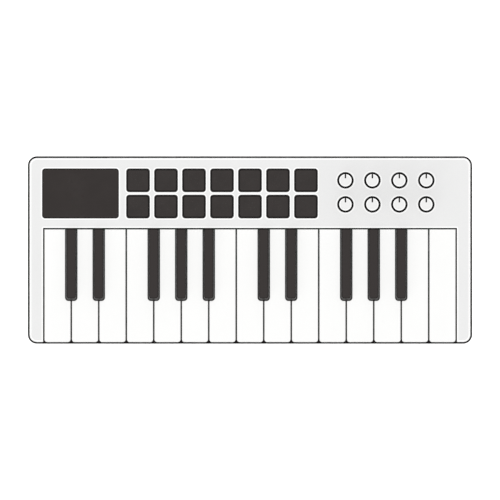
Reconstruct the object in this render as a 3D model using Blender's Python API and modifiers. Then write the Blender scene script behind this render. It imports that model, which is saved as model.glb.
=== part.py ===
"""A two-octave, 25-key slim-key controller keyboard with pads, knobs and a display.

Metres, +Z up. X runs along the keys, Y from the player to the back, and the origin is on the
table under the middle of the case. Each key's object has its origin on the pivot axis, each
knob's on its shaft and each pad's on its line of travel.
"""

import math

import bmesh
import bpy
from mathutils import Matrix

MM = 0.001

# ---- Driving dimensions: the keys ----------------------------------------------------------
WHITE_COUNT = 15
SHARP_FOLLOWS = (True, True, False, True, True, True, False)  # C D E F G A B
NOTE_NAMES = "cdefgab"
KEY_PITCH = 20.0 * MM
KEY_GAP = 1.0 * MM
KEY_LENGTH = 82.0 * MM  # what shows of a white key
KEY_HEIGHT = 15.0 * MM
KEY_CORNER = 2.0 * MM
KEY_WALL = 1.4 * MM
KEY_PLATE = 2.0 * MM  # thickness under the finger
KEY_TRAVEL = 3.5 * MM  # at the front edge
BLACK_WIDTH = 7.6 * MM
BLACK_LENGTH = 51.4 * MM
BLACK_RISE = 8.0 * MM  # above the white keys
BLACK_SIDE_SLOPE = 0.5 * MM
BLACK_NOSE_SLOPE = 1.2 * MM
BLACK_CORNER = 1.8 * MM
BLACK_LIFT = 0.4 * MM  # its skirt ends this much lower than a white key's
NOTCH_GAP = 0.6 * MM  # between a black key and the white keys beside it
TAIL_WIDTH = 5.0 * MM
TAIL_CLEARANCE = 1.1 * MM  # under the panel's front lip
TAIL_OVERLAP = 16.0 * MM  # how far the tail runs forward inside the key
HEEL = 6.0 * MM  # behind the pivot

# ---- Driving dimensions: the pivot and the boards ------------------------------------------
ROD_RADIUS = 1.25 * MM
ROD_HOLE_RADIUS = 1.6 * MM
ROUND_STEPS = 8
PIVOT_SETBACK = 24.35 * MM  # behind the panel's front edge
BOARD = 1.6 * MM  # both circuit boards
FIT = 0.3 * MM  # between pieces that rest on each other

# ---- Driving dimensions: the case ----------------------------------------------------------
CHEEK_WIDTH = 9.85 * MM
CONTROLS_MARGIN = 9.3 * MM  # from the upper case's side to the display
RIM = 1.15 * MM  # the lower case stands proud of the upper one by this
CORNER_RADIUS = 6.5 * MM
EDGE_RADIUS = 1.5 * MM
FOOT_HEIGHT = 2.0 * MM
FLOOR = 2.5 * MM
SIDE_WALL = 2.3 * MM
LIP_WALL = 2.0 * MM
SPLIT_Z = 9.5 * MM  # top of the lower case
KEY_LIFT = 4.5 * MM  # the white keys' skirts above it
DECK = 2.5 * MM
KEY_SINK = 2.0 * MM  # white keys below the deck
PANEL_FRONT_MARGIN = 7.05 * MM
PANEL_BACK_MARGIN = 7.8 * MM

# ---- Driving dimensions: the controls ------------------------------------------------------
PAD_COLUMNS, PAD_ROWS = 7, 2
PAD_OPENING = 17.0 * MM
PAD_CLEARANCE = 0.4 * MM
PAD_GAP_X = 3.36 * MM
PAD_GAP_Y = 2.1 * MM
PAD_PROUD = 2.0 * MM
PAD_TRAVEL = 1.0 * MM
PAD_LIP = 1.2 * MM
PAD_LIP_HEIGHT = 1.5 * MM
PAD_CORNER = 2.2 * MM
DISPLAY_WIDTH = 55.5 * MM
DISPLAY_TO_PADS = 5.6 * MM
DISPLAY_LEDGE = 2.6 * MM
WINDOW = 1.3 * MM
MODULE_HEIGHT = 3.0 * MM
MODULE_GLASS = 1.4 * MM
MODULE_MARGIN = 2.2 * MM
KNOB_COLUMNS, KNOB_ROWS = 4, 2
PADS_TO_KNOBS = 20.2 * MM
KNOBS_MARGIN = 20.0 * MM  # beyond the last column
KNOB_PITCH_X = 19.6 * MM
KNOB_PITCH_Y = 17.5 * MM
KNOB_RADIUS = 6.0 * MM
KNOB_HEIGHT = 12.4 * MM
KNOB_CLEARANCE = 0.8 * MM
KNOB_EDGE = 0.5 * MM
KNOB_STEPS = 16
POINTER_WIDTH = 0.8 * MM
POINTER_REACH = (1.5 * MM, 4.7 * MM)
POINTER_DEPTH = 0.4 * MM
SHAFT_RADIUS = 1.8 * MM
POT_SIDE = 10.0 * MM
BUSHING_RADIUS = 3.3 * MM
BUSHING_BORE = 2.2 * MM
KNOB_HOLE_RADIUS = 3.8 * MM

# ---- Driving dimensions: fasteners, feet and the socket ------------------------------------
BOSS_RADIUS = 3.0 * MM
BASE_BOSS_RADIUS = 4.0 * MM
PILOT_RADIUS = 1.1 * MM
SCREW_RADIUS = 1.6 * MM
HEAD_RADIUS = 2.8 * MM
HEAD_DEPTH = 3.0 * MM
FOOT_WIDTH = 8.0 * MM
FOOT_SINK = 0.8 * MM
FOOT_END_MARGIN = 18.0 * MM
USB_WIDTH, USB_HEIGHT, USB_DEPTH = 12.0 * MM, 10.8 * MM, 16.0 * MM
USB_MOUTH = (8.8 * MM, 8.0 * MM)
USB_MOUTH_DEPTH = 9.5 * MM
USB_CHAMFER = 1.2 * MM
USB_FROM_LEFT = 40.5 * MM  # from the key opening's left side

# ---- Worked out: plan ----------------------------------------------------------------------
PAD_PITCH_X = PAD_OPENING + PAD_GAP_X
PAD_PITCH_Y = PAD_OPENING + PAD_GAP_Y
PADS_WIDTH = PAD_COLUMNS * PAD_OPENING + (PAD_COLUMNS - 1) * PAD_GAP_X
PADS_DEPTH = PAD_ROWS * PAD_OPENING + (PAD_ROWS - 1) * PAD_GAP_Y
KNOBS_WIDTH = (KNOB_COLUMNS - 1) * KNOB_PITCH_X
CONTROLS_WIDTH = (
    DISPLAY_WIDTH + DISPLAY_TO_PADS + PADS_WIDTH + PADS_TO_KNOBS + KNOBS_WIDTH + KNOBS_MARGIN
)
KEYBED_HALF = WHITE_COUNT * KEY_PITCH / 2
OPENING_HALF = KEYBED_HALF + KEY_GAP / 2
TOP_HALF = max(OPENING_HALF, CONTROLS_WIDTH / 2) + CHEEK_WIDTH
CASE_HALF = TOP_HALF + RIM
PANEL_DEPTH = PANEL_FRONT_MARGIN + PADS_DEPTH + PANEL_BACK_MARGIN
CASE_DEPTH = RIM + KEY_LENGTH + KEY_GAP + PANEL_DEPTH + RIM
TOP_FRONT = RIM - CASE_DEPTH / 2
TOP_BACK = CASE_DEPTH / 2 - RIM
KEY_FRONT = TOP_FRONT
KEY_REAR = KEY_FRONT + KEY_LENGTH
BLACK_FRONT = KEY_REAR - BLACK_LENGTH
PANEL_EDGE = KEY_REAR + KEY_GAP
PIVOT_Y = PANEL_EDGE + PIVOT_SETBACK
CONTROLS_LEFT = CONTROLS_MARGIN - TOP_HALF
PADS_BACK = TOP_BACK - PANEL_BACK_MARGIN
PADS_FRONT = PADS_BACK - PADS_DEPTH
DISPLAY_X = CONTROLS_LEFT + DISPLAY_WIDTH / 2
DISPLAY_Y = PADS_BACK - PADS_DEPTH / 2
PADS_LEFT = CONTROLS_LEFT + DISPLAY_WIDTH + DISPLAY_TO_PADS
KNOBS_LEFT = PADS_LEFT + PADS_WIDTH + PADS_TO_KNOBS
KNOBS_BACK = PADS_BACK - PAD_OPENING / 2
USB_X = USB_FROM_LEFT - OPENING_HALF

# ---- Worked out: heights, from the table up ------------------------------------------------
FLOOR_TOP = FOOT_HEIGHT + FLOOR
FRAME_LOW = FLOOR_TOP + FIT
FRAME_TOP = FRAME_LOW + BOARD
CONTACT_LOW = FRAME_TOP + FIT
STRIP_LOW = CONTACT_LOW + BOARD + FIT
STRIP_BASE = 1.0 * MM
DOME_HEIGHT = 2.5 * MM
STRIP_TOP = STRIP_LOW + STRIP_BASE
DOME_TOP = STRIP_TOP + DOME_HEIGHT
KEY_BOTTOM = SPLIT_Z + KEY_LIFT
KEY_TOP = KEY_BOTTOM + KEY_HEIGHT
DECK_Z = KEY_TOP + KEY_SINK
BLACK_TOP = KEY_TOP + BLACK_RISE
BLACK_BOTTOM = KEY_BOTTOM - BLACK_LIFT
DECK_LOW = DECK_Z - DECK
UPPER_LOW = SPLIT_Z + FIT
PAD_TOP = DECK_Z + PAD_PROUD
PAD_LIP_TOP = DECK_LOW - FIT
POT_TOP = DECK_LOW - 0.5 * MM
CONTROL_TOP = DECK_LOW - 5.4 * MM
CONTROL_LOW = CONTROL_TOP - BOARD
PAD_BOTTOM = CONTROL_TOP + FIT + PAD_TRAVEL
LIP_LOW = CONTROL_LOW - 1.0 * MM  # underside of the panel's front lip, above the tails
TAIL_LOW = DOME_TOP + FIT
TAIL_TOP = LIP_LOW - TAIL_CLEARANCE
PIVOT_Z = (TAIL_LOW + TAIL_TOP) / 2
USB_TOP = CONTROL_LOW - FIT
USB_LOW = USB_TOP - USB_HEIGHT
ARM = PIVOT_Y - KEY_FRONT
KEY_ANGLE = math.asin(KEY_TRAVEL / ARM)

# ---- Worked out: where screws, posts and pegs stand ----------------------------------------
KNOB_SIDE_GAP = POT_SIDE + 2.5 * MM  # from a knob's centre to the nearest post or screw
CHEEK_SCREW_X = TOP_HALF - SIDE_WALL - BOSS_RADIUS + 0.2 * MM
REAR_SCREW_Y = TOP_BACK - SIDE_WALL - BASE_BOSS_RADIUS - 0.5 * MM
SCREWS = [
    (side * CHEEK_SCREW_X, y)
    for side in (-1, 1)
    for y in (TOP_FRONT + 9.0 * MM, KEY_REAR - 24.0 * MM, PIVOT_Y + 5.0 * MM)
] + [(CONTROLS_LEFT + 12.5 * MM, REAR_SCREW_Y), (KNOBS_LEFT - KNOB_SIDE_GAP, REAR_SCREW_Y)]
POST_RADIUS = 1.8 * MM
POSTS = [
    (x, y)
    for x in (PADS_LEFT - DISPLAY_TO_PADS / 2 - 0.2 * MM, KNOBS_LEFT - KNOB_SIDE_GAP,
              KNOBS_LEFT + KNOBS_WIDTH + KNOB_SIDE_GAP)
    for y in (PADS_FRONT + 1.5 * MM, PADS_BACK - 8.0 * MM)
]
PEG_RADIUS = 1.5 * MM
FRAME_HALF = KEYBED_HALF - 0.5 * MM
FRAME_PEGS = [
    (side * x, y)
    for side in (-1, 1)
    for x in (KEYBED_HALF - 10.0 * MM, 45.0 * MM)
    for y in (BLACK_FRONT + 18.0 * MM, PANEL_EDGE + 12.0 * MM)
]
BOARD_PEGS = [(x, KEY_REAR + 3.0 * MM) for x in (-KEY_PITCH * 5.25, 0.0, KEY_PITCH * 5.25)]


# ---- Outlines ------------------------------------------------------------------------------
def arc(x, y, radius, start_deg, end_deg, steps):
    """Points on an arc, both ends included."""
    return [
        (
            x + radius * math.cos(math.radians(start_deg + (end_deg - start_deg) * i / steps)),
            y + radius * math.sin(math.radians(start_deg + (end_deg - start_deg) * i / steps)),
        )
        for i in range(steps + 1)
    ]


def rounded(width, depth, radius, steps=3, at=(0.0, 0.0)):
    """A rectangle with round corners."""
    x, y = width / 2 - radius, depth / 2 - radius
    return (
        arc(at[0] + x, at[1] + y, radius, 0, 90, steps)
        + arc(at[0] - x, at[1] + y, radius, 90, 180, steps)
        + arc(at[0] - x, at[1] - y, radius, 180, 270, steps)
        + arc(at[0] + x, at[1] - y, radius, 270, 360, steps)
    )


def rectangle(x_low, x_high, y_low, y_high):
    return [(x_low, y_low), (x_high, y_low), (x_high, y_high), (x_low, y_high)]


def circle(x, y, radius, steps=ROUND_STEPS):
    return arc(x, y, radius, 0, 360, steps)[:-1]


# ---- Making and joining solids -------------------------------------------------------------
def collection(name):
    made = bpy.data.collections.new(name)
    bpy.context.scene.collection.children.link(made)
    return made


def mesh_from(obj):
    """The evaluated object as a mesh in place, with its caps welded and its faces outwards."""
    graph = bpy.context.evaluated_depsgraph_get()
    mesh = bpy.data.meshes.new_from_object(obj.evaluated_get(graph))
    mesh.transform(obj.matrix_world)
    work = bmesh.new()
    work.from_mesh(mesh)
    bmesh.ops.remove_doubles(work, verts=work.verts, dist=0.001 * MM)
    bmesh.ops.recalc_face_normals(work, faces=work.faces)
    work.to_mesh(mesh)
    work.free()
    return mesh


def helper(name, mesh):
    """An object in the cutters collection, which is never part of the model."""
    obj = bpy.data.objects.new(name, mesh)
    CUTTERS.objects.link(obj)
    obj.hide_render = True
    obj.display_type = "WIRE"
    return obj


def plate(name, outlines, low, high):
    """Flat outlines in X and Y given a thickness. An outline inside another is a hole."""
    curve = bpy.data.curves.new(name, "CURVE")
    curve.dimensions = "2D"
    curve.fill_mode = "BOTH"
    curve.extrude = (high - low) / 2
    for outline in outlines:
        spline = curve.splines.new("POLY")
        spline.points.add(len(outline) - 1)
        for point, (x, y) in zip(spline.points, outline):
            point.co = (x, y, 0.0, 1.0)
        spline.use_cyclic_u = True
    flat = helper(name, curve)
    flat.location.z = (low + high) / 2
    bpy.context.view_layer.update()
    mesh = mesh_from(flat)
    bpy.data.objects.remove(flat)
    return helper(name, mesh)


def profile_bar(name, outline, x_low, x_high):
    """An outline in Y and Z, given a thickness along X."""
    bar = plate(name, [outline], x_low, x_high)
    bar.data.transform(Matrix(((0, 0, 1, 0), (1, 0, 0, 0), (0, 1, 0, 0), (0, 0, 0, 1))))
    return bar


def box(name, x_low, x_high, y_low, y_high, low, high):
    """A cube primitive stretched to its corners."""
    work = bmesh.new()
    bmesh.ops.create_cube(work, size=1.0)
    for vert in work.verts:
        vert.co.x = x_low if vert.co.x < 0 else x_high
        vert.co.y = y_low if vert.co.y < 0 else y_high
        vert.co.z = low if vert.co.z < 0 else high
    mesh = bpy.data.meshes.new(name)
    work.to_mesh(mesh)
    work.free()
    return helper(name, mesh)


def merged(name, pieces):
    """Several helpers as one object, for a cutter or an addition that repeats."""
    work = bmesh.new()
    for piece in pieces:
        work.from_mesh(piece.data)
        bpy.data.objects.remove(piece)
    mesh = bpy.data.meshes.new(name)
    work.to_mesh(mesh)
    work.free()
    return helper(name, mesh)


def combine(target, tool, operation):
    modifier = target.modifiers.new(tool.name, "BOOLEAN")
    modifier.operation = operation
    modifier.solver = "EXACT"
    modifier.object = tool


def cut(target, *tools):
    for tool in tools:
        combine(target, tool, "DIFFERENCE")


def add(target, *tools):
    for tool in tools:
        combine(target, tool, "UNION")


def soften(obj, low, high, width, segments):
    """Rounds the edges that lie wholly between two heights."""
    work = bmesh.new()
    work.from_mesh(obj.data)
    inside = [e for e in work.edges if all(low <= v.co.z <= high for v in e.verts)]
    rims = [e for e in inside if len(e.link_faces) == 2 and e.calc_face_angle() > 0.5]
    bmesh.ops.bevel(work, geom=rims, offset=width, segments=segments, profile=0.5, affect="EDGES")
    work.to_mesh(obj.data)
    work.free()


def baked(obj):
    """The finished mesh of an object whose modifiers are done."""
    bpy.context.view_layer.update()
    mesh = mesh_from(obj)
    bpy.data.objects.remove(obj)
    return mesh


def material(name, colour, roughness, metallic=0.0):
    made = bpy.data.materials.new(name)
    made.use_nodes = True
    shader = made.node_tree.nodes["Principled BSDF"]
    shader.inputs["Base Color"].default_value = (*colour, 1.0)
    shader.inputs["Roughness"].default_value = roughness
    shader.inputs["Metallic"].default_value = metallic
    return made


def part(name, source, finish, at=(0.0, 0.0, 0.0)):
    """A named piece of the model, from a mesh that may be shared or from a helper with its cuts."""
    mesh = source if isinstance(source, bpy.types.Mesh) else baked(source)
    mesh.shade_smooth()
    mesh.set_sharp_from_angle(angle=math.radians(50))
    mesh.materials.clear()
    mesh.materials.append(finish)
    obj = bpy.data.objects.new(name, mesh)
    obj.location = at
    MODEL.objects.link(obj)


# ---- The keys ------------------------------------------------------------------------------
def white_outline(sharp_left, sharp_right, inset=0.0):
    """Plan of a white key: a full-width head, and a stem cut back round each black key's nose."""
    half = (KEY_PITCH - KEY_GAP) / 2 - inset
    stem = KEY_PITCH / 2 - BLACK_WIDTH / 2 - NOTCH_GAP - inset
    front = KEY_FRONT + inset
    shoulder = BLACK_FRONT - NOTCH_GAP - inset
    rear = KEY_REAR - inset
    radius = KEY_CORNER - inset
    points = arc(radius - half, front + radius, radius, 180, 270, 2)
    points += arc(half - radius, front + radius, radius, 270, 360, 2)
    bend = BLACK_CORNER + NOTCH_GAP + inset
    if sharp_right:
        points += [(half, shoulder), *arc(stem + bend, shoulder + bend, bend, 270, 180, 2), (stem, rear)]
    else:
        points += [(half, rear)]
    if sharp_left:
        points += [(-stem, rear), *arc(-stem - bend, shoulder + bend, bend, 360, 270, 2), (-half, shoulder)]
    else:
        points += [(-half, rear)]
    return points


def tail(top):
    """The beam that carries a key back to the pivot and stands on its rubber dome."""
    outline = [
        (KEY_REAR - TAIL_OVERLAP, TAIL_LOW),
        (PIVOT_Y + HEEL, TAIL_LOW),
        (PIVOT_Y + HEEL, TAIL_TOP),
        (KEY_REAR - KEY_WALL / 2, TAIL_TOP),
        (KEY_REAR - KEY_WALL / 2, top),
        (KEY_REAR - TAIL_OVERLAP, top),
    ]
    return profile_bar("tail", outline, -TAIL_WIDTH / 2, TAIL_WIDTH / 2)


def rod_hole(half_width):
    return profile_bar("rod_hole", circle(PIVOT_Y, PIVOT_Z, ROD_HOLE_RADIUS), -half_width, half_width)


def hung_on_pivot(key):
    """The key's mesh with its origin on the pivot axis."""
    mesh = baked(key)
    mesh.transform(Matrix.Translation((0.0, -PIVOT_Y, -PIVOT_Z)))
    return mesh


def white_key_mesh(sharp_left, sharp_right):
    outer = [white_outline(sharp_left, sharp_right)]
    inner = [white_outline(sharp_left, sharp_right, KEY_WALL)]
    key = plate("white_key", outer, KEY_BOTTOM, KEY_TOP)
    cut(key, plate("key_hollow", inner, KEY_BOTTOM - FIT, KEY_TOP - KEY_PLATE))
    add(key, tail(KEY_TOP - KEY_PLATE / 2))
    cut(key, rod_hole(TAIL_WIDTH))
    return hung_on_pivot(key)


def black_key_mesh():
    half, radius = BLACK_WIDTH / 2, BLACK_CORNER
    outline = arc(radius - half, BLACK_FRONT + radius, radius, 180, 270, 2)
    outline += arc(half - radius, BLACK_FRONT + radius, radius, 270, 360, 2)
    outline += [(half, KEY_REAR), (-half, KEY_REAR)]
    key = plate("black_key", [outline], BLACK_BOTTOM, KEY_TOP)
    cap = plate("black_cap", [outline], KEY_TOP - FIT, BLACK_TOP)
    for vert in cap.data.vertices:
        if vert.co.z > KEY_TOP:
            vert.co.x *= 1 - BLACK_SIDE_SLOPE / half
            along = (KEY_REAR - vert.co.y) / BLACK_LENGTH
            vert.co.y += BLACK_NOSE_SLOPE * along
    add(key, cap)
    wall = KEY_WALL - 0.2 * MM
    cut(key, box("key_hollow", wall - half, half - wall, BLACK_FRONT + wall, KEY_REAR - wall,
                 BLACK_BOTTOM - FIT, KEY_TOP))
    add(key, tail(KEY_TOP + KEY_PLATE / 2))
    cut(key, rod_hole(TAIL_WIDTH))
    return hung_on_pivot(key)


def key_layout():
    """(name, x, is it black, has it a black key to its left, and to its right) for every key."""
    keys = []
    for i in range(WHITE_COUNT):
        octave, step = divmod(i, len(NOTE_NAMES))
        note = f"{NOTE_NAMES[step]}{octave + 1}"
        x = (i + 0.5) * KEY_PITCH - KEYBED_HALF
        after = SHARP_FOLLOWS[step] and i < WHITE_COUNT - 1
        before = SHARP_FOLLOWS[step - 1] and i > 0
        keys.append((f"white_key_{note}", x, False, before, after))
        if after:
            sharp = f"{NOTE_NAMES[step]}_sharp{octave + 1}"
            keys.append((f"black_key_{sharp}", x + KEY_PITCH / 2, True, False, False))
    return keys


def make_keys():
    black = black_key_mesh()
    whites = {}
    for name, x, is_black, before, after in KEYS:
        if not is_black and (before, after) not in whites:
            whites[before, after] = white_key_mesh(before, after)
        mesh = black if is_black else whites[before, after]
        part(name, mesh, BLACK_PLASTIC if is_black else WHITE_PLASTIC, (x, PIVOT_Y, PIVOT_Z))


# ---- What the keys move on -----------------------------------------------------------------
GUIDE_WIDTH = 2.6 * MM
GUIDE_DEPTH = 7.0 * MM
GUIDE_INSET = 7.0 * MM  # behind the front of a white key
GUIDE_TOP = KEY_BOTTOM + 6.5 * MM
RAIL_FRONT = KEY_FRONT + GUIDE_INSET + GUIDE_DEPTH + 3.0 * MM
RAIL_BACK = BLACK_FRONT + 9.0 * MM
FELT = 1.7 * MM
FELT_TOP = KEY_BOTTOM - (PIVOT_Y - RAIL_FRONT) * math.sin(KEY_ANGLE) - 0.1 * MM
RIB = 3.0 * MM
BAR_FRONT = PIVOT_Y + ROD_HOLE_RADIUS + 1.4 * MM
BAR_BACK = PIVOT_Y + HEEL + 1.0 * MM


def bearing_places():
    """X of each rib that carries the rod: both ends, and between white keys with no black key."""
    ends = [RIB / 2 - FRAME_HALF, FRAME_HALF - RIB / 2]
    inner = [
        x + KEY_PITCH / 2
        for name, x, is_black, before, after in KEYS
        if not is_black and not after and x + KEY_PITCH / 2 < KEYBED_HALF - KEY_PITCH / 2
    ]
    return [ends[0], *inner, ends[1]]


def make_key_frame():
    frame = plate("frame_plate", [rectangle(-FRAME_HALF, FRAME_HALF, KEY_FRONT + 5.0 * MM, BAR_BACK)],
                  FRAME_LOW, FRAME_TOP)
    rail = profile_bar("felt_rail", rectangle(RAIL_FRONT, RAIL_BACK, FRAME_LOW + FIT, FELT_TOP - FELT - FIT),
                       FIT - FRAME_HALF, FRAME_HALF - FIT)
    bar = profile_bar("heel_bar", rectangle(BAR_FRONT, BAR_BACK, FRAME_LOW, TAIL_LOW - FIT),
                      -FRAME_HALF, FRAME_HALF)
    ribs = merged("bearing_ribs", [
        profile_bar("rib", [
            (PIVOT_Y - 9.0 * MM, FRAME_LOW), (BAR_BACK, FRAME_LOW), (BAR_BACK, PIVOT_Z),
            (PIVOT_Y + 3.5 * MM, TAIL_TOP), (PIVOT_Y - 3.5 * MM, TAIL_TOP),
        ], x - RIB / 2, x + RIB / 2)
        for x in bearing_places()
    ])
    guides = merged("key_guides", [
        box("guide", x - GUIDE_WIDTH / 2, x + GUIDE_WIDTH / 2, front, front + GUIDE_DEPTH,
            FRAME_LOW + FIT, GUIDE_TOP)
        for name, x, is_black, before, after in KEYS
        for front in [RAIL_BACK + 2 * FIT if is_black else KEY_FRONT + GUIDE_INSET]
    ])
    pegs = merged("board_pegs", [
        plate("peg", [circle(x, y, PEG_RADIUS, 8)], FRAME_TOP - FIT, STRIP_LOW + FIT)
        for x, y in BOARD_PEGS
    ])
    holes = merged("frame_holes", [
        plate("hole", [circle(x, y, PEG_RADIUS + FIT, 8)], FRAME_LOW - FIT, FRAME_TOP + FIT)
        for x, y in FRAME_PEGS
    ])
    add(frame, rail, bar, ribs, guides, pegs)
    cut(frame, holes, rod_hole(FRAME_HALF + RIB))
    part("key_frame", frame, FRAME_PLASTIC)


def make_pivot_rod():
    rod = profile_bar("rod", circle(PIVOT_Y, PIVOT_Z, ROD_RADIUS), -FRAME_HALF - FIT, FRAME_HALF + FIT)
    part("pivot_rod", rod, STEEL)


def make_stop_felt():
    felt = box("felt", 1.0 * MM - FRAME_HALF, FRAME_HALF - 1.0 * MM, RAIL_FRONT + FIT, RAIL_BACK - FIT,
               FELT_TOP - FELT, FELT_TOP)
    part("stop_felt", felt, DARK_FELT)


CONTACT_FRONT, CONTACT_BACK = KEY_REAR - 26.0 * MM, KEY_REAR + 7.0 * MM
DOME_Y = KEY_REAR - 10.0 * MM
DOME_RADIUS, DOME_TIP = 3.2 * MM, 2.0 * MM


def make_contacts():
    """The key contact board, and the rubber strip whose domes hold the keys up."""
    board = plate("board", [
        rectangle(2.0 * MM - FRAME_HALF, FRAME_HALF - 2.0 * MM, CONTACT_FRONT, CONTACT_BACK),
        *[circle(x, y, PEG_RADIUS + FIT, 8) for x, y in BOARD_PEGS],
    ], CONTACT_LOW, CONTACT_LOW + BOARD)
    part("contact_board", board, CIRCUIT_BOARD)
    strip = box("strip", 4.0 * MM - FRAME_HALF, FRAME_HALF - 4.0 * MM, DOME_Y - 6.0 * MM,
                DOME_Y + 6.0 * MM, STRIP_LOW, STRIP_TOP)
    domes = []
    for name, x, is_black, before, after in KEYS:
        dome = plate("dome", [circle(x, DOME_Y, DOME_RADIUS, 8)], STRIP_TOP - FIT, DOME_TOP)
        for vert in dome.data.vertices:
            if vert.co.z > STRIP_TOP:
                vert.co.x = x + (vert.co.x - x) * DOME_TIP / DOME_RADIUS
                vert.co.y = DOME_Y + (vert.co.y - DOME_Y) * DOME_TIP / DOME_RADIUS
        domes.append(dome)
    add(strip, merged("domes", domes))
    part("contact_strip", strip, DOME_RUBBER)


# ---- The controls --------------------------------------------------------------------------
def pad_places():
    """(x, y) of each pad, from the front row's left to the back row's right."""
    return [
        (PADS_LEFT + PAD_OPENING / 2 + column * PAD_PITCH_X, PADS_FRONT + PAD_OPENING / 2 + row * PAD_PITCH_Y)
        for row in range(PAD_ROWS)
        for column in range(PAD_COLUMNS)
    ]


def knob_places():
    """(x, y) of each knob, from the front row's left to the back row's right."""
    return [
        (KNOBS_LEFT + column * KNOB_PITCH_X, KNOBS_BACK - (KNOB_ROWS - 1 - row) * KNOB_PITCH_Y)
        for row in range(KNOB_ROWS)
        for column in range(KNOB_COLUMNS)
    ]


def make_pads():
    side = PAD_OPENING - 2 * PAD_CLEARANCE
    wide = side + 2 * PAD_LIP
    pad = plate("pad", [rounded(side, side, PAD_CORNER, 2)], PAD_BOTTOM, PAD_TOP)
    lip = plate("pad_lip", [rounded(wide, wide, PAD_CORNER, 1)], PAD_LIP_TOP - PAD_LIP_HEIGHT, PAD_LIP_TOP)
    add(pad, lip)
    mesh = baked(pad)
    mesh.transform(Matrix.Translation((0.0, 0.0, -DECK_Z)))
    for number, (x, y) in enumerate(pad_places(), 1):
        part(f"pad_{number:02d}", mesh, PAD_RUBBER, (x, y, DECK_Z))


def make_knobs():
    """Each knob with its shaft: a turned profile, with the pointer sunk in its top."""
    low = KNOB_CLEARANCE
    high = low + KNOB_HEIGHT
    foot = POT_TOP - 3.5 * MM - DECK_Z
    profile = [
        (0.0, high), (KNOB_RADIUS - KNOB_EDGE, high), (KNOB_RADIUS, high - KNOB_EDGE),
        (KNOB_RADIUS, low), (SHAFT_RADIUS, low), (SHAFT_RADIUS, foot), (0.0, foot),
    ]
    mesh = bpy.data.meshes.new("knob")
    edges = [(i, i + 1) for i in range(len(profile) - 1)]
    mesh.from_pydata([(r, 0.0, z) for r, z in profile], edges, [])
    knob = helper("knob", mesh)
    screw = knob.modifiers.new("turn", "SCREW")
    screw.axis = "Z"
    screw.steps = screw.render_steps = KNOB_STEPS
    screw.use_merge_vertices = True
    screw.merge_threshold = 0.01 * MM
    near, far = POINTER_REACH
    slot = box("pointer_slot", -POINTER_WIDTH / 2, POINTER_WIDTH / 2, near, far,
               high - POINTER_DEPTH, high + POINTER_DEPTH)
    cut(knob, slot)
    turned = baked(knob)
    for number, (x, y) in enumerate(knob_places(), 1):
        part(f"knob_{number}", turned, KNOB_RUBBER, (x, y, DECK_Z))


def make_display():
    window = plate("window", [rounded(DISPLAY_WIDTH - 2 * FIT, PADS_DEPTH - 2 * FIT, PAD_CORNER - FIT, 3,
                                      (DISPLAY_X, DISPLAY_Y))], DECK_Z - WINDOW, DECK_Z)
    part("display_window", window, SMOKED_ACRYLIC)
    half_x = DISPLAY_WIDTH / 2 - MODULE_MARGIN
    half_y = PADS_DEPTH / 2 - MODULE_MARGIN
    low = CONTROL_TOP + FIT
    module = box("module", DISPLAY_X - half_x, DISPLAY_X + half_x, DISPLAY_Y - half_y, DISPLAY_Y + half_y,
                 low, low + MODULE_HEIGHT)
    glass = box("module_glass", DISPLAY_X - half_x + 3 * MM, DISPLAY_X + half_x - 3 * MM,
                DISPLAY_Y - half_y + 3 * MM, DISPLAY_Y + half_y - 3 * MM,
                low + MODULE_HEIGHT - FIT, low + MODULE_HEIGHT + MODULE_GLASS)
    add(module, glass)
    part("display_module", module, DARK_GLASS)


BOARD_FRONT = PANEL_EDGE + LIP_WALL + 1.2 * MM
BOARD_BACK = PADS_BACK + 0.5 * MM


def make_control_board():
    """The board under the panel, with the eight potentiometers soldered to it."""
    reach = CHEEK_SCREW_X - BOSS_RADIUS - 3.0 * MM
    board = plate("board", [rectangle(-reach, reach, BOARD_FRONT, BOARD_BACK)], CONTROL_LOW, CONTROL_TOP)
    tongue = box("usb_tongue", USB_X - 8.0 * MM, USB_X + 8.0 * MM, BOARD_BACK - 1.0 * MM,
                 TOP_BACK - SIDE_WALL - 1.0 * MM, CONTROL_LOW, CONTROL_TOP)
    notches = merged("boss_notches", [
        plate("notch", [circle(x, y, BOSS_RADIUS + 2 * FIT)], CONTROL_LOW - FIT, CONTROL_TOP + FIT)
        for x, y in SCREWS if y == REAR_SCREW_Y
    ])
    half = POT_SIDE / 2
    pots = merged("pots", [
        box("pot", x - half, x + half, y - half, y + half, CONTROL_TOP - FIT, POT_TOP)
        for x, y in knob_places()
    ])
    bushings = merged("bushings", [
        plate("bushing", [circle(x, y, BUSHING_RADIUS)], POT_TOP - FIT, DECK_Z)
        for x, y in knob_places()
    ])
    bores = merged("pot_bores", [
        plate("bore", [circle(x, y, BUSHING_BORE)], POT_TOP - 4.0 * MM, DECK_Z + FIT)
        for x, y in knob_places()
    ])
    add(board, tongue, pots, bushings)
    cut(board, notches, bores)
    part("control_board", board, CIRCUIT_BOARD)


def usb_clearance(low):
    """Cuts the back walls clear of the socket, from a height up to the board."""
    half = USB_WIDTH / 2 + FIT
    return box("usb_cutout", USB_X - half, USB_X + half, TOP_BACK - FIT - USB_DEPTH, TOP_BACK + RIM + FIT,
               low, CONTROL_LOW)


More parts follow.
